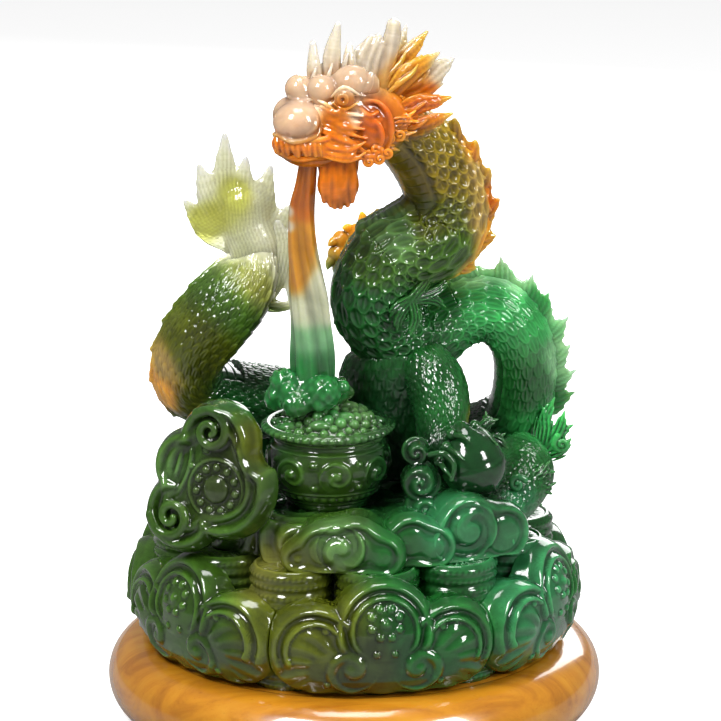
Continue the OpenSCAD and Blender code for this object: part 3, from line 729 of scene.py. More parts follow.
def build_coins():
    coin = PLINTH_H / COINS
    profile = [(0.4, 0.05), (COIN_R - 1, 0.05)]
    for i in range(COINS):
        z = i * coin
        for step, inset in ((0.05, 1.0), (0.11, 0.5), (0.2, 0.12), (0.3, 0), (0.42, 0.3), (0.5, 0.42),
                            (0.58, 0.3), (0.7, 0), (0.8, 0.12), (0.89, 0.5), (0.95, 1.0)):
            profile.append((COIN_R - inset, z + step * coin))
    profile += [(r, PLINTH_H) for r in np.arange(COIN_R - 1.3, 0.5, -0.45)]

    def struck(r, z, a):
        x, y = r * np.cos(a), r * np.sin(a)
        face = (z > PLINTH_H - 0.01).astype(float)
        edge = (r > COIN_R - 0.2) * (1 - face)
        square = np.maximum(np.abs(x), np.abs(y))
        high = (0.55 * bump(r, 12.6, 0.9) + 0.4 * bump(r, 4.6, 0.8)
                + 0.32 * np.cos(26 * a) * bump(r, 8.6, 3.2) - 0.7 * smooth(3.2, 2.6, square))
        high = high * face
        milled = 0.16 * np.cos(44 * a) * edge
        return r + milled, z + high, high + milled * 2
    r, a, z, relief = turned(profile, COIN_AROUND, struck)
    stack = np.stack([r * np.cos(a), r * np.sin(a) - STACK_RING, z], -1).reshape(-1, 3)
    faces = sheet_faces(len(profile), COIN_AROUND, True)
    points = [stack @ turn_z(PANEL_TURN + i * 360 / STACKS).T for i in range(STACKS)]
    quads = [faces + i * len(stack) for i in range(STACKS)]
    obj = add_mesh("coin_piles", np.concatenate(points), np.concatenate(quads),
                   np.tile(relief.ravel(), STACKS))
    dress(obj, "figurine", "coin_stacks", JADE)


# a panel's outline as circles [x, z, radius]
PANEL_LOBES = [(0, 25, 17.6), (-23.6, 17.6, 16.4), (23.6, 17.6, 16.4)]


def panel_outline(x, z):
    waist = np.maximum(np.abs(x) - 23.6, np.abs(z - 11.2) - 10)
    return np.minimum(discs(x, z, PANEL_LOBES, 2.0), waist)


def panel_arcs(x, z, inset, half):
    """Raised line over the tops of the lobes, which ends where two lobes meet."""
    top, side = PANEL_LOBES[0], PANEL_LOBES[2]
    ax = np.abs(x)
    middle = bump(np.hypot(x, z - top[1]), top[2] - inset, half) * smooth(16, 21, z)
    turn = np.degrees(np.arctan2(z - side[1], ax - side[0]))
    flank = bump(np.hypot(ax - side[0], z - side[1]), side[2] - inset, half)
    return np.maximum(middle, flank * smooth(-40, -22, turn) * smooth(150, 128, turn))


def panel_face(x, z):
    """Raised work on a panel's face, in mm over its swelling ground."""
    ax = np.abs(x)
    lines = np.maximum(1.9 * panel_arcs(x, z, 2.2, 2.2), 1.5 * panel_arcs(x, z, 6.2, 1.5))
    curls = 1.2 * rosette(ax - 11.5, z - 11.5, 9.5, 8.6, -1, 1.0, 1.2)
    pillow = 1.8 * bump(np.hypot(ax - 27, z - 18), 0, 13) + 1.2 * bump(np.hypot(x, z - 26), 0, 14)
    flower_r = np.hypot(x, z - 28.4)
    flower = 0.5 * bump(flower_r, 0, 7) + 1.2 * bump(flower_r, 0, 2.4)
    seeds = beads(x, z, around_point(0, 28.4, 5.2, 8, 22), 1.5, 1.1)
    more = beads(ax, z, [(19.6, 5.6), (36.6, 14), (20.2, 25.6), (25.4, 27.4), (3.2, 17.4)], 1.3, 1.0)
    # feathery strokes fan out over the side lobes
    turn, out = np.arctan2(z - 9, ax - 17), np.hypot(ax - 17, z - 9)
    within = smooth(8.5, 11.5, out) * smooth(20, 16, out) * smooth(9, 14, ax)
    feather = 0.34 * np.cos(15 * turn + 0.5 * out) * within
    low = 0.5 * np.cos(0.55 * x) * smooth(5, 2, z)
    return np.maximum.reduce([lines, curls, flower + 0 * x, seeds, more]) + pillow + feather + low


def build_panels():
    clay = Clay((-44, -84, -1.5), (44, -58, 45), 0.42)

    def shape(x, y, z):
        u = panel_outline(x, z)
        radius = np.interp(np.clip(z, 0, 42), PANEL_SKIN[:, 0], PANEL_SKIN[:, 1]) - 1.6
        swell = 2.2 * (1 - np.exp(np.minimum(u, 0) / 4.5)) - 1.2
        r = np.hypot(x, y)
        front = r - radius - swell - panel_face(x, z)
        wedge = (np.abs(x) + y * 0.5745) * 0.867
        return np.maximum(smax(smax(u, front, 1.4), 66.4 - r, 0.5), wedge)
    clay.press((-44, -84, -1), (44, -60, 44), shape)
    for i, side in enumerate(PANELS):
        show(clay, "panel_" + side, "ruyi_panel_" + side, turn=turn_z(PANEL_TURN + i * 60))


# ---------------------------------------------------------------- clouds

CLOUD_TOP = 57.0                 # top of the cloud bank, in mm over the stand
# puffs of the bank round the plinth as [angle, distance, radius], and of the rise as [x, y, z, radius]
BANK_LOBES = [
    (-52, 40, 20), (-25, 42, 19), (0, 42, 20), (26, 40, 19), (52, 38, 19),
    (80, 38, 18), (112, 42, 18), (144, 42, 19), (176, 40, 20), (208, 42, 19), (242, 42, 19), (276, 42, 20),
]
RISE_LOBES = [(26, 46, 54, 15), (6, 50, 56, 17), (-18, 50, 60, 17), (-38, 42, 62, 15), (-8, 30, 62, 16)]


def build_clouds():
    clay = Clay((-66, -66, 41), (66, 66, 60), 0.55)
    middle = (PLINTH_H + CLOUD_TOP) / 2
    half = (CLOUD_TOP - PLINTH_H) / 2
    clay.press((-46, -46, 41), (46, 46, 58),
               lambda x, y, z: slab(np.hypot(x, y) - 45, z - middle + 1.2, half - 1 + 0.5 * np.cos(0.35 * x)
                                    * np.cos(0.35 * y), 2))
    for i, (angle, dist, r) in enumerate(BANK_LOBES):
        a = math.radians(angle)
        out = vec(math.sin(a), -math.cos(a))

        def lobe(x, y, z, out=out, dist=dist, r=r, sense=(-1) ** i):
            dx, dy = x - out[0] * dist, y - out[1] * dist
            side = dx * -out[1] + dy * out[0]
            ahead = dx * out[0] + dy * out[1]
            lift = z - middle + 3
            curls = 1.3 * volute(side + sense * 5, lift - 2, 8.6, sense) * smooth(0, r * 0.5, ahead)
            top = 0.5 * np.cos(np.hypot(dx, dy) * 1.15) * smooth(6, 10, lift)
            return slab(np.hypot(dx, dy) - r + 1.2 - curls, lift, half + 2.8 + top, 5.5)
        lo = (out[0] * dist - r, out[1] * dist - r, 42)
        hi = (out[0] * dist + r, out[1] * dist + r, 58)
        clay.press(lo, hi, lobe, 1.2)
    clay.trim_below(PLINTH_H + 0.05)
    show(clay, "cloud_ring", "cloud_bank")

    clay = Clay((-56, 12, 54), (44, 70, 80), 0.5)
    for i, (cx, cy, cz, r) in enumerate(RISE_LOBES):
        def curls(dx, dy, dz, sense=(-1) ** i):
            return 0.9 * volute(dx, dz - 5, 5.2, sense) * smooth(-2, 5, dy) - 0.6
        clay.lump((cx, cy, cz), r, 1.5, curls)
    clay.trim_below(CLOUD_TOP - 0.5)
    show(clay, "cloud_billow", "cloud_rise_back")


def build_scroll(name, node, place, turn, depth, rows, curls):
    """Curling cloud: its outline as circles [x, z, radius] in its own upright plane, and the curls
    on it as [x, z, radius, pitch, sense, height]."""
    reach = max(abs(x) + r for x, _, r in rows) + 3
    clay = Clay((-reach, -depth - 3, -1.5), (reach, 3, 26), 0.32)

    def shape(x, y, z):
        u = discs(x, z, rows, 4.0)
        foot = np.maximum(np.abs(x - rows[0][0]) - rows[0][2], np.abs(z - rows[0][1] / 2) - rows[0][1] / 2)
        u = np.minimum(u, foot)
        front = np.zeros(np.broadcast(x, z).shape, np.float32)
        for cx, cz, r, pitch, sense, height in curls:
            front = np.maximum(front, rosette(x - cx, z - cz, r, pitch, sense, height, 0.8) + height * 0.3)
        front = front + 1.2 * bump(u, -2.0, 2.0) - 0.4 * bump(u, -4.6, 1.4)
        swell = 2.4 * (1 - np.exp(np.minimum(u, 0) / 5)) - 1.2
        face = smooth(-depth * 0.35, -depth * 0.75, y)
        return slab(u, y + depth / 2, depth / 2 + (front + swell) * face, 2.6)
    clay.press((-reach, -depth - 2, 0), (reach, 1, 25), shape)
    clay.trim_below(0)
    show(clay, name, node, turn=turn_z(turn), shift=(*place, PLINTH_H))


def build_scrolls():
    build_scroll("scroll_front", "cloud_scroll_front", (2, -49), -3, 15,
                 [(-1, 8.2, 11.2), (-12, 7.6, 9.8), (8.4, 5.6, 8.6), (-20.5, 4.6, 6.4)],
                 [(-5.5, 8.6, 8.8, 9.6, 1, 1.3)])
    build_scroll("scroll_middle", "cloud_scroll_middle", (17, -45), 12, 13,
                 [(0, 9, 10), (8, 6.4, 9), (-6, 6, 7)], [])
    build_scroll("scroll_right", "cloud_scroll_right", (36, -37), 26, 13,
                 [(-2, 10.6, 13), (11, 7.6, 11.4), (-10, 7, 8)], [(-2, 11, 10.8, 11.5, -1, 1.5)])


# ---------------------------------------------------------------- ruyi sceptre

RUYI_AT = (-48, -44, 69.8)
RUYI_FRAME = turn_z(-26) @ turn_x(82) @ turn_z(-17)
RUYI_T = 13.0                    # thickness of the head of the sceptre
RUYI_LOBES = [(5, 0, 19.5), (-2, 13, 15), (-6, -15, 14.5), (-9.5, 1, 13.5)]      # x, y, radius
RUYI_BOSS = (3.7, -1.9)


def build_ruyi():
    clay = Clay((-25, -34, -11), (28, 32, 11), 0.36)

    def shape(x, y, z):
        u = discs(x, y, RUYI_LOBES, 1.5)
        notch = np.hypot(x - 17.5, y - 17) - 4.6
        u = smax(u, -notch, 1.5)
        inner = discs(x, y, RUYI_LOBES, 14.0)
        rim = 2.6 * bump(u, -3.2, 3.2) + 1.3 * bump(inner, -8.6, 1.8)
        deep = smooth(-9.6, -11.0, inner)
        boss_r = np.hypot(x - RUYI_BOSS[0], y - RUYI_BOSS[1])
        boss = 2.4 * np.sqrt(np.clip(1 - (boss_r / 4.9) ** 2, 0, 1))
        ring = 0.9 * bump(boss_r, 10.4, 1.1)
        seeds = beads(x, y, around_point(*RUYI_BOSS, 7.6, 11, 10), 1.5, 1.5)
        more = beads(x, y, [(14, 6), (-4.6, 9.5), (12.5, -12), (-8, 2)], 1.4, 1.2)
        flutes = np.cos(2 * np.pi * (x + 0.02 * (y + 1) ** 2) / 4.2)
        flutes = flutes * smooth(-5.5, -7.5, x) * smooth(-11, -8, y) * smooth(9, 6, y)
        work = np.maximum.reduce([boss, ring, seeds, more, flutes, 0 * x + 0 * y])
        front = rim + deep * work - 0.6 * deep
        face = smooth(-1, 3, z)
        back = 0.7 * np.cos(2 * np.pi * boss_r / 6) * smooth(1, -3, z)
        return slab(u, z, RUYI_T / 2 - 1.6 + front * face + back, 4.4)
    clay.press((-24, -33, -10), (27, 31, 10), shape)
    # the rim rolls in to a volute at the top and at the foot
    for cx, cy, start, turns in ((-4.6, 16.4, 150, -1.5), (-8.2, -17.4, 200, 1.5)):
        path = curl(cx, cy, 8.0, 1.2, start, turns, 16)
        clay.limb([(a, b, 6.0 + 0.05 * i, 1.9 - 0.045 * i) for i, (a, b) in enumerate(path)], 1.3, steps=2)
    show(clay, "ruyi_front", "ruyi_head", turn=RUYI_FRAME, shift=RUYI_AT)

    clay = Clay((-74, -46, 46), (-38, -10, 86), 0.4)
    for i in range(5):
        k = i / 4
        clay.limb([(-50 - 4 * k, -24 - 3 * k, 54 + 3 * k, 5), (-58 - 3 * k, -22 - 2 * k, 62 + 2 * k, 5.4 - k),
                   (-64 + 4 * k, -26 - 2 * k, 72 + k, 5), (-56 + 5 * k, -32 + k, 80 - 3 * k, 4)], 1.6,
                  flute=(3.2, 0.35))
    show(clay, "ruyi_grip", "ruyi_stem")


# ---------------------------------------------------------------- treasure pot and water

POT_AT = (-9, -28, 57)
POT_RINGS = [(23.6, 0.5), (21.6, 0.5), (7.2, 0.5), (3.0, 0.4)]          # height up the pot, how proud
PEARLS = 96
HEAP_SPREAD = 380                # square of the radius at which the heap comes down to its foot


def build_pot():
    shape = [(0.4, 0.2), (12.6, 0), (14.4, 0.3), (15.2, 1.6), (15.4, 2.6), (17.4, 5), (20.0, 9), (21.6, 13.5),
             (21.5, 17.5), (20.2, 21), (18.9, 23), (18.8, 24.4), (20.2, 25.6), (22.2, 26.2), (22.7, 27.6),
             (22.2, 29.0), (20.8, 29.2), (19.6, 28.2), (19.2, 26.6), (10, 26.4), (0.4, 26.4)]
    profile, _ = resample(spline([(r, z, 0) for r, z in shape], 6), 0.34)

    def chased(r, z, a):
        out = r > 12
        top = np.sqrt(np.clip(1 - ((z - 27.6) / 1.15) ** 2, 0, 1)) * np.abs(np.cos(23 * a))
        low = np.sqrt(np.clip(1 - ((z - 5.2) / 1.0) ** 2, 0, 1)) * np.abs(np.cos(19 * a))
        rings = sum(high * bump(z, at, 0.5) for at, high in POT_RINGS)
        cell = 2 * np.pi / 8
        side = ((a + cell * 0.3) % cell - cell / 2) * 20
        curls = np.maximum(rosette(side, z - 14.2, 6.4, 4.0, 1, 0.75),
                           beads(np.abs(side), z, [(7.6, 18.6), (7.6, 10.0)], 1.1, 0.9))
        h = (0.95 * top + 0.8 * low + rings + curls * smooth(7.6, 8.6, z) * smooth(20.8, 20.0, z)) * out
        return r + h - 0.2 * out, z, h * 0.8 - 0.15
    pot = lathe("pot_chased", profile[:, :2], 300, POT_AT, chased)
    dress(pot, "figurine", "treasure_pot", JADE)

    # pearls lie close over the heap, with ingots between them
    clay = Clay((-32, -51, 80), (14, -5, 102), 0.33)
    base = vec(*POT_AT) + vec(0, 0, 25)

    def heap(x, y, z):
        dome = base[2] + 10.5 * (1 - ((x - base[0]) ** 2 + (y - base[1]) ** 2) / HEAP_SPREAD)
        return np.maximum((z - dome) * 0.8, 81.5 - z)
    clay.press((-31, -50, 80), (13, -6, 98), heap)
    for i in range(PEARLS):
        r = 18.6 * math.sqrt((i + 0.5) / PEARLS)
        a = math.radians(137.508 * i)
        z = base[2] + 10.8 * (1 - r * r / HEAP_SPREAD)
        size = 1.9 + 0.5 * math.sin(i * 2.3)
        at = (base[0] + r * math.cos(a), base[1] + r * math.sin(a), z)
        if i % 9 == 4:
            clay.ball(at, 3.1, 0.3, squash=(1.25, 0.8, 0.7))
        else:
            clay.ball(at, size, 0.2)
    show(clay, "pearl_heap", "treasure_mound")


# the falling water as [x, y, z, half depth, half width], and the balls of its splash as [x, y, z, radius]
WATER = [
    (-14.5, -31, 93, 6.8, 8.0), (-14.5, -31, 108, 6.4, 7.8), (-15, -31.5, 125, 5.8, 7.2),
    (-16.4, -32, 139, 5.2, 6.4), (-17.6, -33, 151, 4.6, 5.2), (-17.8, -34, 163, 4.2, 4.8),
    (-16.5, -36, 172, 3.6, 3.8), (-15.5, -37, 180, 3.2, 3.4),
]
SPLASH = [
    (-15, -31, 97, 8.6), (-24, -33, 101, 5.6), (-27, -32, 95, 4.4), (-20, -39, 95, 5),
    (-10, -38, 99, 6.2), (-6, -30, 97, 5), (-14, -24, 98, 5.4), (-23, -26, 97, 5),
]


def build_water():
    line = spline(WATER, 24)
    a = np.linspace(0, 2 * np.pi, 160, endpoint=False)[None]
    z = line[:, 2:3]
    # ropes of water twist slowly round each other as they fall
    twist = a + 0.012 * (z - 90)
    ropes = (0.34 * np.cos(4 * twist + 0.4) + 0.22 * np.cos(9 * twist + 0.05 * z)
             + 0.05 * np.cos(23 * twist - 0.06 * z))
    swell = 0.16 * np.sin(z * 0.3 + 2 * a)
    h = (ropes + swell) * np.clip(line[:, 4:5] / 6, 0.5, 1.2)
    x = line[:, 0:1] + (line[:, 4:5] + h - 0.3) * np.cos(a)
    y = line[:, 1:2] + (line[:, 3:4] + h - 0.3) * np.sin(a)
    rings = np.stack([x, y, np.broadcast_to(z, x.shape)], -1)
    column = capped(rings, h * 0.5 - 0.2, 0.6, "water_fall")
    dress(column, "figurine", "water_column", CLEAR)

    clay = Clay((-36, -48, 86), (2, -15, 110), 0.32)
    for i, (cx, cy, cz, r) in enumerate(SPLASH):
        def waves(dx, dy, dz, sense=(-1) ** i):
            return 0.35 * np.cos(1.5 * dx + sense) * np.cos(1.3 * dz + 0.7) * np.cos(1.1 * dy) - 0.4
        clay.lump((cx, cy, cz), r, 3.6, waves)
    # smaller bubbles and drops between the big ones
    for i in range(34):
        a = math.radians(137.5 * i)
        reach = 9 + 5.5 * math.sin(i * 1.7)
        size = 1.2 + 1.2 * abs(math.sin(i * 2.9))
        at = (-15 + reach * math.cos(a), -31 + 0.75 * reach * math.sin(a), 93 + 9 * abs(math.sin(i * 0.83)))
        clay.ball(at, size, 1.4)
    show(clay, "water_foam", "water_splash", CLEAR, 6)


# ---------------------------------------------------------------- dragon's head


def fan(clay, root, tips, r, k, flute=(1.5, 0.3), flat=(0.1, 1, 0.1)):
    """Strands that leave one root and part towards their tips, bowed by turns to either side."""
    root = np.asarray(root, float)
    for i, tip in enumerate(tips):
        tip = np.asarray(tip, float)
        side = unit(np.cross(tip - root, flat)) * 1.5 * (1 if i % 2 else -1)
        mid = root + (tip - root) * 0.55 + side
        clay.limb([(*root, r * 0.7), (*mid, r), (*tip, 0.35)], k, flat=flat, thin=0.6, flute=flute)


def lock(clay, at, r, thick, turns, start, k, facing=(0, -1, 0)):
    """Curled lock of hair: a small spiral that faces the given way."""
    f = unit(facing)
    u = unit(np.cross((0, 0, 1), f))
    v = np.cross(f, u)
    flat = curl(0, 0, r, 0.4, start, turns, 9)
    path = [tuple(np.asarray(at) + a * u + b * v + f * (0.9 * thick * i / 8)) + (thick * (1 - 0.45 * i / 8),)
            for i, (a, b) in enumerate(flat)]
    clay.limb(path, k, steps=2)


HEAD_MID = vec(-5, -32.5, 0)         # the head is the same on both sides of the upright plane through here
HEAD_OUT = unit((1, -2, 0))


def far_side(p):
    """The same [x, y, z, radius] on the head's other side."""
    p = np.asarray(p, float)
    return (*(p[:3] - 2 * ((p[:3] - HEAD_MID) @ HEAD_OUT) * HEAD_OUT), *p[3:])


def pair(clay, points, k):
    """The same strand on both sides of the head."""
    clay.limb(points, k)
    clay.limb([far_side(p) for p in points], k)


def pair_of_locks(clay, at, r, thick, turns, start, k=0.3):
    lock(clay, at, r, thick, turns, start, k)
    lock(clay, far_side(at), r, thick, turns, start, k, facing=(-0.8, 0.6, 0))


def build_skull():
    clay = Clay((-33, -54, 176), (24, -8, 220))
    clay.limb([(8, -26, 195, 11.6), (0, -30, 199, 11), (-5, -32, 200, 10)], 2)
    clay.limb([(-4, -32, 200, 9.5), (-12, -36, 197.5, 7.6), (-19, -39.5, 194.8, 5.8)], 2)
    # muzzle under the nose, with the folds of the lip over its teeth
    pair(clay, [(-22.6, -40.5, 190.4, 3.4), (-17, -41, 189.4, 4.8), (-9, -40, 189.6, 5.0),
                (-2, -37, 191, 5)], 1.6)
    pair(clay, [(-25.6, -43, 193.6, 1.0), (-19.5, -45.8, 192.4, 1.1), (-12, -45.2, 192.6, 1.1),
                (-5, -42.8, 193.8, 0.8)], 0.8)
    # cheek with its raised edge
    for cheek in ((6.4, -34.8, 193.6), far_side((6.4, -34.8, 193.6))):
        clay.ball(cheek, 1, 2.5, squash=(6.0, 6.4, 9.4))
    pair(clay, [(4, -38.5, 205, 0.5), (8.6, -38.6, 204.2, 0.8), (12.2, -37.6, 199.4, 1.0),
                (12.8, -37.2, 192.5, 0.9), (10.4, -38.4, 186.0, 0.6)], 1.4)
    pair(clay, [(4.6, -40.6, 199, 0.4), (8.4, -41, 197.4, 0.8), (9.8, -40.6, 192.5, 0.9),
                (8, -40.4, 187.6, 0.5)], 1.4)
    for i in range(4):
        pair(clay, [(2.4 + 0.8 * i, -40.0 + 0.2 * i, 202.4 - 3.1 * i, 0.3),
                    (5.4 + 0.9 * i, -40.9 + 0.3 * i, 200.4 - 3.1 * i, 0.6),
                    (8.2 + 0.9 * i, -39.6 + 0.3 * i, 201.2 - 2.9 * i, 0.3)], 1.2)
    # whisker pads sweep back from the nose in ridges
    for i in range(22):
        bow, reach, along = math.sin(2.3 * i), 4 * math.sin(1.9 * i), 3 * math.sin(3.1 * i)
        pair(clay, [(-10 + along, -41.4 - 0.1 * i, 202.0 - 0.5 * i + 0.5 * bow, 0.3),
                    (-5 + along, -43.6 - 0.05 * i, 201.8 - 0.62 * i + 0.9 * bow, 0.6 + 0.2 * (i % 2)),
                    (1 + along + 0.5 * reach, -41.4 + 0.02 * i, 201.0 - 0.78 * i, 0.3)], 0.7 + 0.5 * (i % 2))
    # lids over and under the eye
    pair(clay, [(-7.6, -41, 206.6, 0.4), (-3.4, -42.6, 210.3, 0.8), (1.6, -41, 207.6, 0.45)], 0.9)
    pair(clay, [(-7.2, -42, 205, 0.35), (-3.2, -43.8, 203.1, 0.65), (1.6, -42, 205, 0.35)], 0.9)
    for i in range(3):
        pair(clay, [(-12 + i, -41.5, 205.6 - 2 * i, 0.4), (-9.5 + i, -42.6, 204.6 - 2 * i, 0.65),
                    (-7 + i, -43, 203 - 2 * i, 0.35)], 0.7)
    # moustache and the curled hair at the corner of the mouth
    for z0, reach in ((190.6, 4), (188.4, 1), (186.8, 4)):
        pair(clay, [(-10, -44.2, z0, 0.4), (-6, -45.2, z0 - 0.8, 0.8), (-1, -44.4, z0 - 1.4, 0.8),
                    (reach, -42.6, z0 + 0.9, 0.35)], 1.0)
    for i, (x, z) in enumerate(((1.5, 186.4), (5.2, 184.4), (8.8, 185.4), (11.4, 187.4), (7.2, 188.4))):
        pair_of_locks(clay, (x, -41.5 + 0.2 * i, z), 2.2, 0.95, 1.3, 50 * i)
    show(clay, "head_carved", "dragon_skull")


def build_bulbs():
    clay = Clay((-32, -52, 188), (-8, -22, 219))
    clay.ball((-19, -41, 199.2), 1, 0.5, squash=(8.4, 7.4, 6.9))
    clay.ball((-21, -33.5, 200), 6.6, 1.6)
    clay.ball((-18.5, -35.4, 209.6), 4.9, 1.0)
    clay.limb([(-18, -38, 201, 5.6), (-17.4, -36, 207, 4.4)], 1.6)
    # wings of the nose and the pit of the nostril
    pair(clay, [(-26.4, -44, 195.4, 0.6), (-20, -47.4, 193.6, 1.0), (-12.8, -45.4, 195.2, 0.9),
                (-11, -43, 199, 0.5)], 1.0)
    clay.limb([(-15.6, -46.6, 196.6, 0.5), (-13, -45.8, 198.6, 0.8), (-12.6, -44.4, 201.4, 0.4)], 0.9)
    clay.ball((-22.6, -47.8, 195.6), 1.1, 0.8, cut=True)
    clay.limb([(-22, -38.5, 207.5, 0.5), (-17.6, -40.4, 206.4, 0.9), (-13.6, -40, 207, 0.5)], 0.5)
    show(clay, "nose_bulbs", "nostril_bulbs", CLEAR, 7)

    clay = Clay((-18, -45, 202), (9, -16, 222))
    clay.ball((-11, -37, 209.6), 5.3, 1.0)
    clay.ball((-0.5, -35, 212), 1, 1.2, squash=(6.9, 6.4, 5.8))
    clay.ball((-7, -25, 212), 6, 1.2)
    clay.limb([(-10, -35, 207, 5.4), (-3, -32, 209, 6), (4, -31, 210, 5)], 1.8)
    for i in range(3):
        clay.limb([(3.2 + 1.1 * i, -39.4 + 0.6 * i, 209.6, 0.25),
                   (4.8 + 0.8 * i, -38.6 + 0.6 * i, 212.4, 0.55), (5.4 + 0.5 * i, -36.6, 215.4, 0.25)], 0.9)
    clay.limb([(-6.6, -40.2, 208.4, 0.3), (-1.4, -41.2, 209.0, 0.6), (4.2, -39.6, 208.2, 0.3)], 0.9)
    show(clay, "brow_lobes", "brow_bulbs", CLEAR, 7)

    clay = Clay((-18, -48, 201), (3, -18, 212), 0.22)
    for (cx, cy, cz, r), way in (((-3.2, -41.8, 206.5, 3.6), (-0.15, -1, 0.1)),
                                 ((-13, -24, 207, 3.7), (-0.9, 0.4, 0.1))):
        way = unit(way)
        clay.ball((cx, cy, cz), r, 0.3)
        centre = vec(cx, cy, cz) + way * (r - 0.5)
        side = unit(np.cross(way, (0, 0, 1)))
        up = np.cross(side, way)
        ring = [tuple(centre + 1.7 * (math.cos(t) * side + math.sin(t) * up)) + (0.3,)
                for t in np.linspace(0, 2 * np.pi, 17)]
        clay.limb(ring, 0.5, steps=1)
        clay.ball(centre + way * 0.5, 0.8, 0.3, cut=True)
    show(clay, "eye_balls", "dragon_eyes", CLEAR)


def build_mouth():
    clay = Clay((-32, -52, 178), (-4, -30, 198), 0.24)
    for a in range(9):
        x = -25.8 + 1.75 * a
        y = -42.6 - 3.4 * math.sin(math.pi * (a + 1) / 11)
        lean, tall = 0.5 * math.sin(a * 2.7), 0.7 * math.sin(a * 1.9)
        pair(clay, [(x - lean, y + 0.8, 193 + tall, 0.9), (x, y - 0.5, 190 + 0.4 * tall, 1.15),
                    (x + 0.6 + lean, y, 186.8 - 0.5 * tall, 0.7)], 0.7)
    clay.limb([(-24, -40, 190, 3), (-17, -42, 190, 3.4), (-11, -41, 190.4, 3)], 0.8)
    show(clay, "fang_row", "upper_teeth")

    clay = Clay((-31, -52, 174), (9, -16, 195))
    clay.limb([(-24, -41, 184.4, 1.8), (-18.6, -41, 182.6, 3.0), (-11, -37.5, 182.8, 4.2),
               (1, -31.5, 185.4, 5)], 0.6)
    pair(clay, [(-26, -43, 185.2, 0.8), (-19, -44.6, 182.8, 1.2), (-10.6, -43, 184.0, 1.1),
                (-3, -40, 187, 0.8)], 1.0)
    for i in range(4):
        pair_of_locks(clay, (-4 + 3.0 * i, -39.8 + 1.2 * i, 183.4 + 0.6 * i), 1.9, 0.8, 1.2, 70 * i, 0.8)
    show(clay, "jaw_carved", "lower_jaw")

    clay = Clay((-18, -46, 160), (6, -26, 192))
    clay.limb([(-5.6, -35, 188, 4.0), (-5.4, -35.6, 178, 4.6), (-5.2, -36, 169.4, 4.8)], 1.0)
    for row, (y, thick) in enumerate([(-38.6, 1.5), (-36.8, 1.7), (-34.4, 1.7)]):
        for i in range(6):
            x = -5.3 + (i - 2.5) * 1.9
            sway = 0.7 * math.sin(1.9 * i + 2.2 * row)
            foot = 164.6 + 0.35 * (i - 2.5) ** 2 + 0.8 * row
            clay.limb([(0.86 * x - 0.7, y + 1.0, 188, 0.9 * thick), (x + sway, y, 180, thick),
                       (x - sway, y - 0.5, 172, 1.1 * thick), (x + 0.5 * sway, y + 0.3, foot, 0.6 * thick)],
                      0.7)
    show(clay, "beard_carved", "chin_beard")


# strands of the crown and the mane as [root, bend, tip, radius]
CROWN = [
    ((-12.5, -32, 209), (-13.5, -32, 216), (-13.8, -31, 225), 2.5),
    ((-7, -31, 210), (-7.5, -30, 220), (-5.4, -29, 231), 3.1),
    ((-1.5, -30, 214), (-1.5, -30, 219), (-1.5, -29, 223.8), 2.3),
]
MANE = [
    ((9, -24, 205), (16, -22, 215), (25, -20, 225), 3.0),
    ((11, -25, 203), (20, -25, 212), (29, -24, 218.5), 3.0),
    ((11, -21, 201), (23, -22, 208), (34, -21, 216), 4.6),
    ((11, -27, 196), (22, -28, 201), (33, -26, 203.5), 3.0),
    ((11, -28, 191), (22, -29, 194), (33.5, -27, 198), 3.0),
    ((9, -18, 204), (14, -16, 214), (18, -14, 226), 2.7),
    ((10, -17, 200), (20, -13, 209), (28, -9, 215), 2.7),
    ((11, -15, 196), (21, -10, 203), (30, -6, 207), 2.7),
]


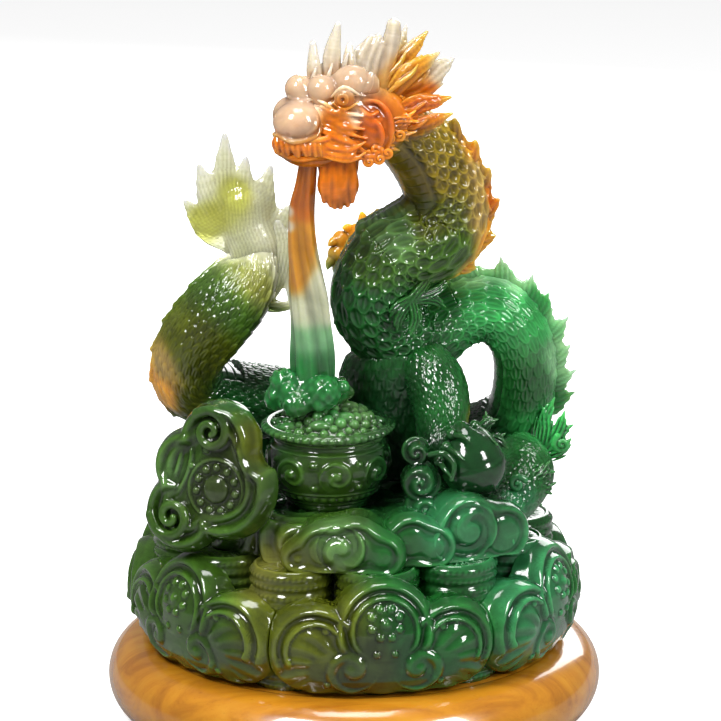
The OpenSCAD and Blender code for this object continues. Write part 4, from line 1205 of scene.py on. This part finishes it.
def build_crown():
    clay = Clay((-19, -38, 204), (4, -24, 234), 0.28)
    for root, bend, tip, r in CROWN:
        clay.limb([(*root, r * 0.9), (*bend, r), (*tip, 1.2)], 0.4, thin=0.8, flute=(2.6, 0.06))
        # a leaf of a collar lies round each spike's foot
        clay.limb([(root[0] - 1.8, root[1] - 2, root[2], 1.0),
                   (root[0] - 1.6, root[1] - 2.6, root[2] + 4, 0.9),
                   (root[0] - 0.4, root[1] - 2, root[2] + 8, 0.3)], 0.4)
    show(clay, "crown_points", "crown_spikes", CLEAR, 6)

    clay = Clay((-4, -34, 202), (19, -17, 235), 0.28)
    clay.limb([(8.4, -24, 205, 3.0), (11.4, -23.5, 217, 3.0), (13.2, -23, 226, 2.9),
               (13.6, -23, 229.8, 2.3)], 0.6, rings=(4.2, 0.06), flute=(2.6, 0.08))
    clay.limb([(3.5, -26, 208, 4.4), (4.6, -25, 216, 5.4), (6.2, -24.5, 221, 4.8), (8.0, -24, 225.0, 2.0)],
              0.8, thin=0.4, flute=(2.8, 0.16))
    clay.limb([(-0.4, -27, 210, 2.2), (1.2, -26, 217, 2.8), (3.2, -25, 222.6, 0.8)], 0.8, thin=0.5,
              flute=(2.4, 0.12))
    show(clay, "horn_pair", "horns", CLEAR, 6)

    clay = Clay((3, -38, 181), (38, -2, 230))
    clay.limb([(10, -24, 204, 3.6), (12, -25, 192, 4)], 1)
    clay.limb([(10, -24, 203, 3.6), (11, -17, 199, 4)], 1)
    for i, (root, bend, tip, r) in enumerate(MANE):
        root, bend, tip = np.array(root, float), np.array(bend, float), np.array(tip, float)
        flat = (0.15, 1, 0.1)
        clay.limb([(*root, r * 0.9), (*bend, r), (*((bend + tip) / 2), r * 0.8), (*tip, 0.6)], 0.7, flat=flat,
                  thin=0.45, flute=(2.2, 0.12))
        side = unit(np.cross(tip - root, flat))
        way = 1 if i % 2 else -1
        end = root + (tip - root) * 0.72 + side * way * r * 1.2
        mid = root + (bend - root) * 0.8 + side * way * r * 0.8 + vec(0, -1.2, 0)
        clay.limb([(*root, 1.6), (*mid, 1.9), (*end, 0.4)], 0.6, flat=flat, thin=0.6, flute=(1.5, 0.1))
        for j in range(3):
            low = root + (bend - root) * (0.05 + 0.24 * j) + vec(-1.4, -2.6, 0.7 * j - 0.5)
            clay.limb([(*low, 0.4), (*(low + (tip - root) * 0.22 + side * (0.8 - j)), 0.8),
                       (*(low + (tip - root) * 0.42), 0.3)], 0.6)
    show(clay, "mane_locks", "mane_strands", CLEAR, 6)

    clay = Clay((-10, -44, 174), (27, -8, 203))
    root = (5, -37.5, 191)
    tips = [(21, -31, 196.5), (22, -31.5, 193), (21, -32, 189.4), (18.6, -32.5, 186.4), (15.4, -33.4, 183.4),
            (11, -35, 181)]
    fan(clay, root, tips, 2.2, 0.5)
    fan(clay, far_side(root), [far_side(tip) for tip in tips], 2.2, 0.5, flat=(-0.8, 0.6, 0))
    for i in range(4):
        pair_of_locks(clay, (6 + 3.2 * i, -38.4 + 1.0 * i, 186.8 + 0.8 * i), 2.0, 0.85, 1.2, 80 * i)
    show(clay, "cheek_fringe", "cheek_frill")


# ---------------------------------------------------------------- crests and tail


def build_crest(name, node, first, last, lobes, height, r, thin, tip_r, material):
    """Row of ribbed leaves along the body's back, between two points of its centre line."""
    line = spline(SPINE, SPINE_STEPS)
    heading, back, _ = spine_frame(line)
    a, b = int(first * SPINE_STEPS), int(last * SPINE_STEPS)
    feet = line[a:b, :3] + back[a:b] * line[a:b, 3:4]
    clay = Clay(feet.min(0) - (height + 7), feet.max(0) + (height + 7), 0.33)
    for m in range(lobes):
        i = a + int((m + 0.5) * (b - a) / lobes)
        foot = line[i, :3] + back[i] * (line[i, 3] - 2.6)
        step = np.linalg.norm(line[min(i + 1, b), :3] - line[i, :3]) * (b - a) / lobes
        tall = height * (1.1 + 0.16 * math.sin(2.4 * m))
        tip = foot + back[i] * (tall + 2.8) - heading[i] * 0.42 * step
        mid = foot + back[i] * (tall + 2.8) * 0.45 + heading[i] * 0.05 * step
        clay.limb([(*(foot + heading[i] * 0.25 * step), r), (*mid, r * 0.86), (*tip, tip_r)], 1.2,
                  thin=thin, flute=(1.9, 0.2))
        clay.limb([(*(foot + heading[i] * 0.5 * step), r * 0.7), (*(mid + heading[i] * 0.35 * step), r * 0.5),
                   (*(mid + (tip - mid) * 0.3 + heading[i] * 0.4 * step), 0.4)], 1.0,
                  thin=thin, flute=(1.6, 0.16))
    web = height * 0.2
    clay.limb([(*(line[i, :3] + back[i] * (line[i, 3] + web * 0.35)), 1.2 + web) for i in range(a, b, 3)],
              1.0, thin=thin, steps=1)
    show(clay, name, node, material, 6)


# the tongues of the tail's end as [foot, middle, tip, radius], each place as (x, z)
TAIL_FLAMES = [
    ((-43, 139), (-52, 144), (-59.6, 152.6), 4.6), ((-42, 140), (-50, 153), (-54.6, 165.6), 4.8),
    ((-39, 140), (-45, 158), (-45.6, 176.6), 4.9), ((-37, 140), (-39.4, 154), (-38.2, 168.4), 4.6),
    ((-35, 140), (-33, 152), (-29.6, 165), 4.6), ((-33, 138), (-27.6, 144), (-23.2, 151), 4.0),
]


def build_tail_fins():
    clay = Clay((-64, 10, 128), (-18, 30, 181), 0.33)
    clay.limb([(-34.6, 19, 130, 9.2), (-35.4, 19, 137, 9.2), (-38, 20, 144, 9.0), (-39, 20, 151, 8)], 1,
              thin=0.8, flute=(1.2, 0.05))
    clay.limb([(-47, 20, 145, 7.6), (-37, 20, 151, 8)], 2.5, thin=0.5, flute=(1.2, 0.05))
    for i, (foot, mid, tip, r) in enumerate(TAIL_FLAMES):
        y = 20 - 1.2 * (i % 2) + 0.6
        clay.limb([(foot[0], 20, foot[1], r), (mid[0], y, mid[1], r * 1.08), (tip[0], y + 0.4, tip[1], 1.1)],
                  1.6, thin=0.46, flute=(1.5, 0.07))
    show(clay, "tail_fan", "tail_flame", CLEAR, 7)

    clay = Clay((-42, 8, 110), (-16, 28, 150))
    clay.limb([(-27, 18, 145, 2.0), (-25.4, 17, 138, 3.4), (-26.6, 17, 129, 4.0), (-29.4, 17, 122, 3.4)], 0.8,
              thin=0.5, flute=(1.3, 0.08))
    clay.limb([(-33, 17, 117, 2.6), (-27, 16.6, 115.6, 2.2), (-20, 16, 116.6, 0.8)], 1.0, thin=0.6,
              flute=(1.3, 0.07))
    clay.limb([(-24.8, 16.8, 127, 1.6), (-23.2, 16.4, 122, 1.1), (-22.6, 16.2, 118, 0.9)], 0.8, thin=0.6)
    show(clay, "tail_side_fin", "tail_inner_fin", CLEAR, 7)


# ---------------------------------------------------------------- belly, legs, paws and tufts


def scaled_tube(name, node, points, row, wide, height, around=200):
    """Scaled limb through [x, y, z, half depth, half width]; row and wide are a scale's length and width."""
    line, run = resample(spline(points, 10), 0.36)
    heading = unit(np.gradient(line[:, :3], axis=0))
    n = unit(np.cross(heading, (0, 1, 0)))
    b = np.cross(n, heading)
    phi = np.linspace(-np.pi, np.pi, around, endpoint=False)[None]
    deep, broad = line[:, 3:4], line[:, 4:5]
    mean = float((deep + broad).mean() / 2)
    count = max(int(round(2 * math.pi * mean / wide)), 6)
    h = scale_relief(run[:, None], phi, 13.0, row, count) * height
    ends = np.minimum(run, run[-1] - run)[:, None]
    dome = np.sqrt(np.clip(1 - (1 - np.clip(ends / np.minimum(deep, 5), 0, 1)) ** 2, 0.02, 1))
    p = (line[:, None, :3] + ((deep * dome + h) * np.cos(phi))[..., None] * b[:, None]
         + ((broad * dome + h) * np.sin(phi))[..., None] * n[:, None])
    dress(capped(p, np.clip(h * 0.8, -0.6, 0.8), 0.0, name), "figurine", node, JADE)


def paw(clay, wrist, toes, r):
    """Toes that end in hooked claws; each toe is [knuckle, tip]."""
    for knuckle, tip in toes:
        knuckle, tip, w = (np.asarray(v, float) for v in (knuckle, tip, wrist))
        clay.limb([(*w, r * 1.1), (*((w + knuckle) / 2 + vec(0, -0.6, 0.8)), r), (*knuckle, r * 0.95)], 0.8,
                  rings=(2.4, 0.2))
        clay.ball(knuckle, r * 1.1, 0.6)
        bend = (knuckle + tip) / 2 + unit(knuckle - w) * 0.8
        clay.limb([(*knuckle, r * 0.7), (*bend, r * 0.55), (*tip, 0.3)], 0.3)


def build_limbs():
    scaled_tube("flank_scaled", "dragon_belly",
                [(13, 1, 107, 12, 14), (14, 0, 94, 13, 19.6), (16, 2, 78, 13, 18.6), (20, 6, 58, 12.6, 17.6)],
                3.0, 3.6, 0.8, 260)
    scaled_tube("near_foreleg_scaled", "foreleg_right",
                [(22, -4, 106, 7.5, 7.5), (28, -10, 96, 10.4, 10.4), (30.5, -15, 86, 10, 10),
                 (30, -21, 77, 7.5, 7.5), (32, -28, 72, 5, 5)], 2.5, 2.9, 0.7)
    clay = Clay((20, -52, 60), (54, -18, 88))
    paw(clay, (31, -29, 73), [((32, -40, 80), (38, -47.4, 77.5)), ((34, -38, 84), (40, -45, 83.6)),
                              ((29.5, -40.6, 75), (33.6, -46.6, 71)), ((42, -31, 85), (49.6, -38, 80))], 1.8)
    show(clay, "near_forepaw", "foreleg_right")

    scaled_tube("far_foreleg_scaled", "foreleg_left",
                [(13, 11, 110, 7, 7), (5, 16, 122, 9, 9), (1, 17, 134, 9.2, 9.2), (-1, 16, 141, 5, 5)], 2.5,
                2.9, 0.7)
    clay = Clay((-14, 2, 126), (14, 26, 156))
    paw(clay, (0, 15, 137), [((-6, 12, 136), (-9.4, 9.6, 131)), ((-4.4, 13, 141), (-9, 10, 139.4)),
                             ((0, 14, 143.4), (-4, 11, 145.6)), ((3, 16, 144), (2.6, 15, 150.6))], 3.0)
    show(clay, "far_forepaw", "foreleg_left")

    scaled_tube("hind_leg_scaled", "hind_leg_right",
                [(56, 6, 67, 8, 8), (61, -8, 62, 9.5, 9.5), (57, -20, 56, 8, 8), (51.5, -29, 52, 6.2, 6.2),
                 (49, -33, 49.6, 4.6, 4.6)], 2.4, 2.8, 0.7)
    clay = Clay((36, -50, 40), (68, -22, 64))
    paw(clay, (50.5, -31, 51), [((56, -35, 51.5), (60.5, -39, 46)), ((52.6, -38, 51.6), (55.5, -43.4, 46)),
                                ((47.6, -38.6, 50), (48.6, -44, 45)), ((44.4, -36, 48), (42.4, -41, 44.6))],
        2.6)
    show(clay, "hind_paw", "hind_leg_right")

    clay = Clay((50, -30, 46), (76, -8, 74))
    fan(clay, (56, -20, 60), [(68.6, -17, 68), (70.6, -16, 64), (71, -16, 60), (69.6, -16.5, 56),
                              (66, -17.6, 52.4),
                              (63, -20, 50)], 3.0, 0.6, flute=(1.6, 0.34), flat=(0.3, 1, 0))
    lock(clay, (57, -27, 63), 3.0, 1.3, 1.3, 30, 0.5)
    show(clay, "ankle_locks", "hind_ankle_tuft")

    clay = Clay((60, -8, 58), (82, 14, 90))
    fan(clay, (66, 4, 64), [(77, 2, 71), (77.6, 2, 76), (74.6, 2, 81), (71, 3, 85.6), (67, 3, 82)], 2.8, 0.6,
        flute=(1.5, 0.32), flat=(0.3, 1, 0))
    lock(clay, (73.6, -1.6, 70), 3.2, 1.3, 1.4, 120, 0.5)
    show(clay, "hip_locks", "hip_tuft")

    clay = Clay((8, -28, 108), (40, -2, 142))
    fan(clay, (20, -17.4, 127), [(34, -8.6, 132.6), (31, -12, 137), (26, -15.6, 139), (32, -9, 122),
                                 (15, -19, 116),
                                 (19.6, -19.6, 114.6), (12.6, -19, 121)], 2.2, 0.5, flute=(1.3, 0.28),
        flat=(-0.4, 1, 0))
    show(clay, "shoulder_locks", "shoulder_tuft")


def build_pearl():
    clay = Clay((26, -48, 56), (56, -18, 90))

    def orb(x, y, z):
        dx, dy, dz = x - 41, y + 33, z - 71.5
        r = np.sqrt(dx * dx + dy * dy + dz * dz)
        return r - 11.6 - 0.12 * np.cos(0.5 * dx + 0.3 * dz)
    clay.press((29, -45, 59), (53, -21, 84), orb)
    clay.limb([(41, -34, 72, 11), (38.6, -34, 79.5, 6.6), (37, -33, 85, 2.4)], 3)
    fan(clay, (43, -27, 80), [(46, -24, 88), (50, -26, 86), (52.6, -27, 81), (53.6, -28, 76)], 2.0, 0.7,
        flute=(1.3, 0.25))
    show(clay, "pearl_in_flame", "flaming_pearl")

    clay = Clay((12, -54, 50), (40, -28, 86))
    for at, r, pitch, sense in (((23, -41, 68.5), 7.0, 3.8, 1), ((21.5, -39, 78.5), 5.0, 3.2, -1),
                                ((24, -40, 59), 7.0, 4.0, -1)):
        def curls(dx, dy, dz, pitch=pitch, sense=sense):
            return 0.55 * volute(dx, dz, pitch, sense) * smooth(1, -2, dy)
        clay.lump(at, r, 0.8, curls)
    clay.limb([(26, -43, 78, 0.9), (31, -44.6, 79, 1.1), (34.6, -45.4, 75, 1.0), (33.6, -46, 70, 0.8)], 0.4)
    show(clay, "knot_of_cloud", "cloud_knot")


# ---------------------------------------------------------------- the whole figurine on its stand

for build in (build_stand, build_body, build_core, build_coins, build_panels, build_clouds, build_scrolls,
              build_ruyi, build_pot, build_water, build_skull, build_bulbs, build_mouth, build_crown):
    build()
build_crest("neck_comb", "neck_crest", 1, 4, 6, 2.4, 3.4, 0.5, 1.4, CLEAR)
build_crest("arch_comb", "arch_crest", 8.5, 12.6, 10, 6.0, 3.4, 0.36, 0.4, CLEAR)
build_crest("tail_comb", "tail_crest", 18, 23, 9, 1.2, 2.2, 0.6, 0.8, JADE)
for build in (build_tail_fins, build_limbs, build_pearl):
    build()

# ---------------------------------------------------------------- light, floor and camera

scene = bpy.context.scene
world = bpy.data.worlds.new("studio")
scene.world = world
world.use_nodes = True
world.node_tree.nodes["Background"].inputs["Color"].default_value = (1.0, 1.0, 1.0, 1)
world.node_tree.nodes["Background"].inputs["Strength"].default_value = 0.22
scene.view_settings.view_transform = "Standard"

floor_mesh = bpy.data.meshes.new("floor")
floor_mesh.from_pydata([(-40, -40, 0), (40, -40, 0), (40, 40, 0), (-40, 40, 0)], [], [(0, 1, 2, 3)])
floor = bpy.data.objects.new("floor", floor_mesh)
scene.collection.objects.link(floor)
# the floor is white for the viewer and darker for the light that it throws up at the figurine
pale = Recipe("pale_floor")
seen = pale.add("LightPath").outputs["Is Camera Ray"]
shade = pale.add("Mix", {"Factor": seen, "A": (0.3, 0.3, 0.3, 1), "B": (0.93, 0.93, 0.93, 1)},
                 data_type="RGBA")
glare = pale.add("Math", {0: seen, 1: 0.55}, operation="MULTIPLY")
pale.set(pale.bsdf, {"Base Color": shade.outputs["Result"], "Roughness": 0.9, "Emission Color": (1, 1, 1, 1),
                     "Emission Strength": glare.outputs["Value"]})
floor_mesh.materials.append(pale.mat)

AIM = vec(2.3, 0, 130.2) * MM


def softbox(name, at, size, power, tall=None):
    light = bpy.data.lights.new(name, "AREA")
    light.shape = "RECTANGLE"
    light.size = size
    light.size_y = tall or size
    light.energy = power
    obj = bpy.data.objects.new(name, light)
    scene.collection.objects.link(obj)
    obj.location = at
    aim = Vector(AIM.tolist()) - obj.location
    obj.rotation_euler = aim.to_track_quat("-Z", "Y").to_euler()


# place in m, width in m, power in W, height in m where it differs from the width
softbox("key", (-0.5, -0.7, 1.0), 0.30, 14, 0.50)
softbox("fill", (0.75, -0.6, 0.7), 0.20, 8, 0.50)
softbox("top", (0.0, -0.1, 1.1), 0.4, 5)
softbox("back", (0.25, 0.9, 0.55), 0.7, 8)

ELEVATION = math.radians(15)
DISTANCE = 1.6
camera = bpy.data.cameras.new("camera")
camera.lens = 226.4
camera.sensor_width = 36
eye = bpy.data.objects.new("camera", camera)
scene.collection.objects.link(eye)
eye.location = (AIM[0], AIM[1] - DISTANCE * math.cos(ELEVATION), AIM[2] + DISTANCE * math.sin(ELEVATION))
eye.rotation_euler = (math.pi / 2 - ELEVATION, 0, 0)
scene.camera = eye
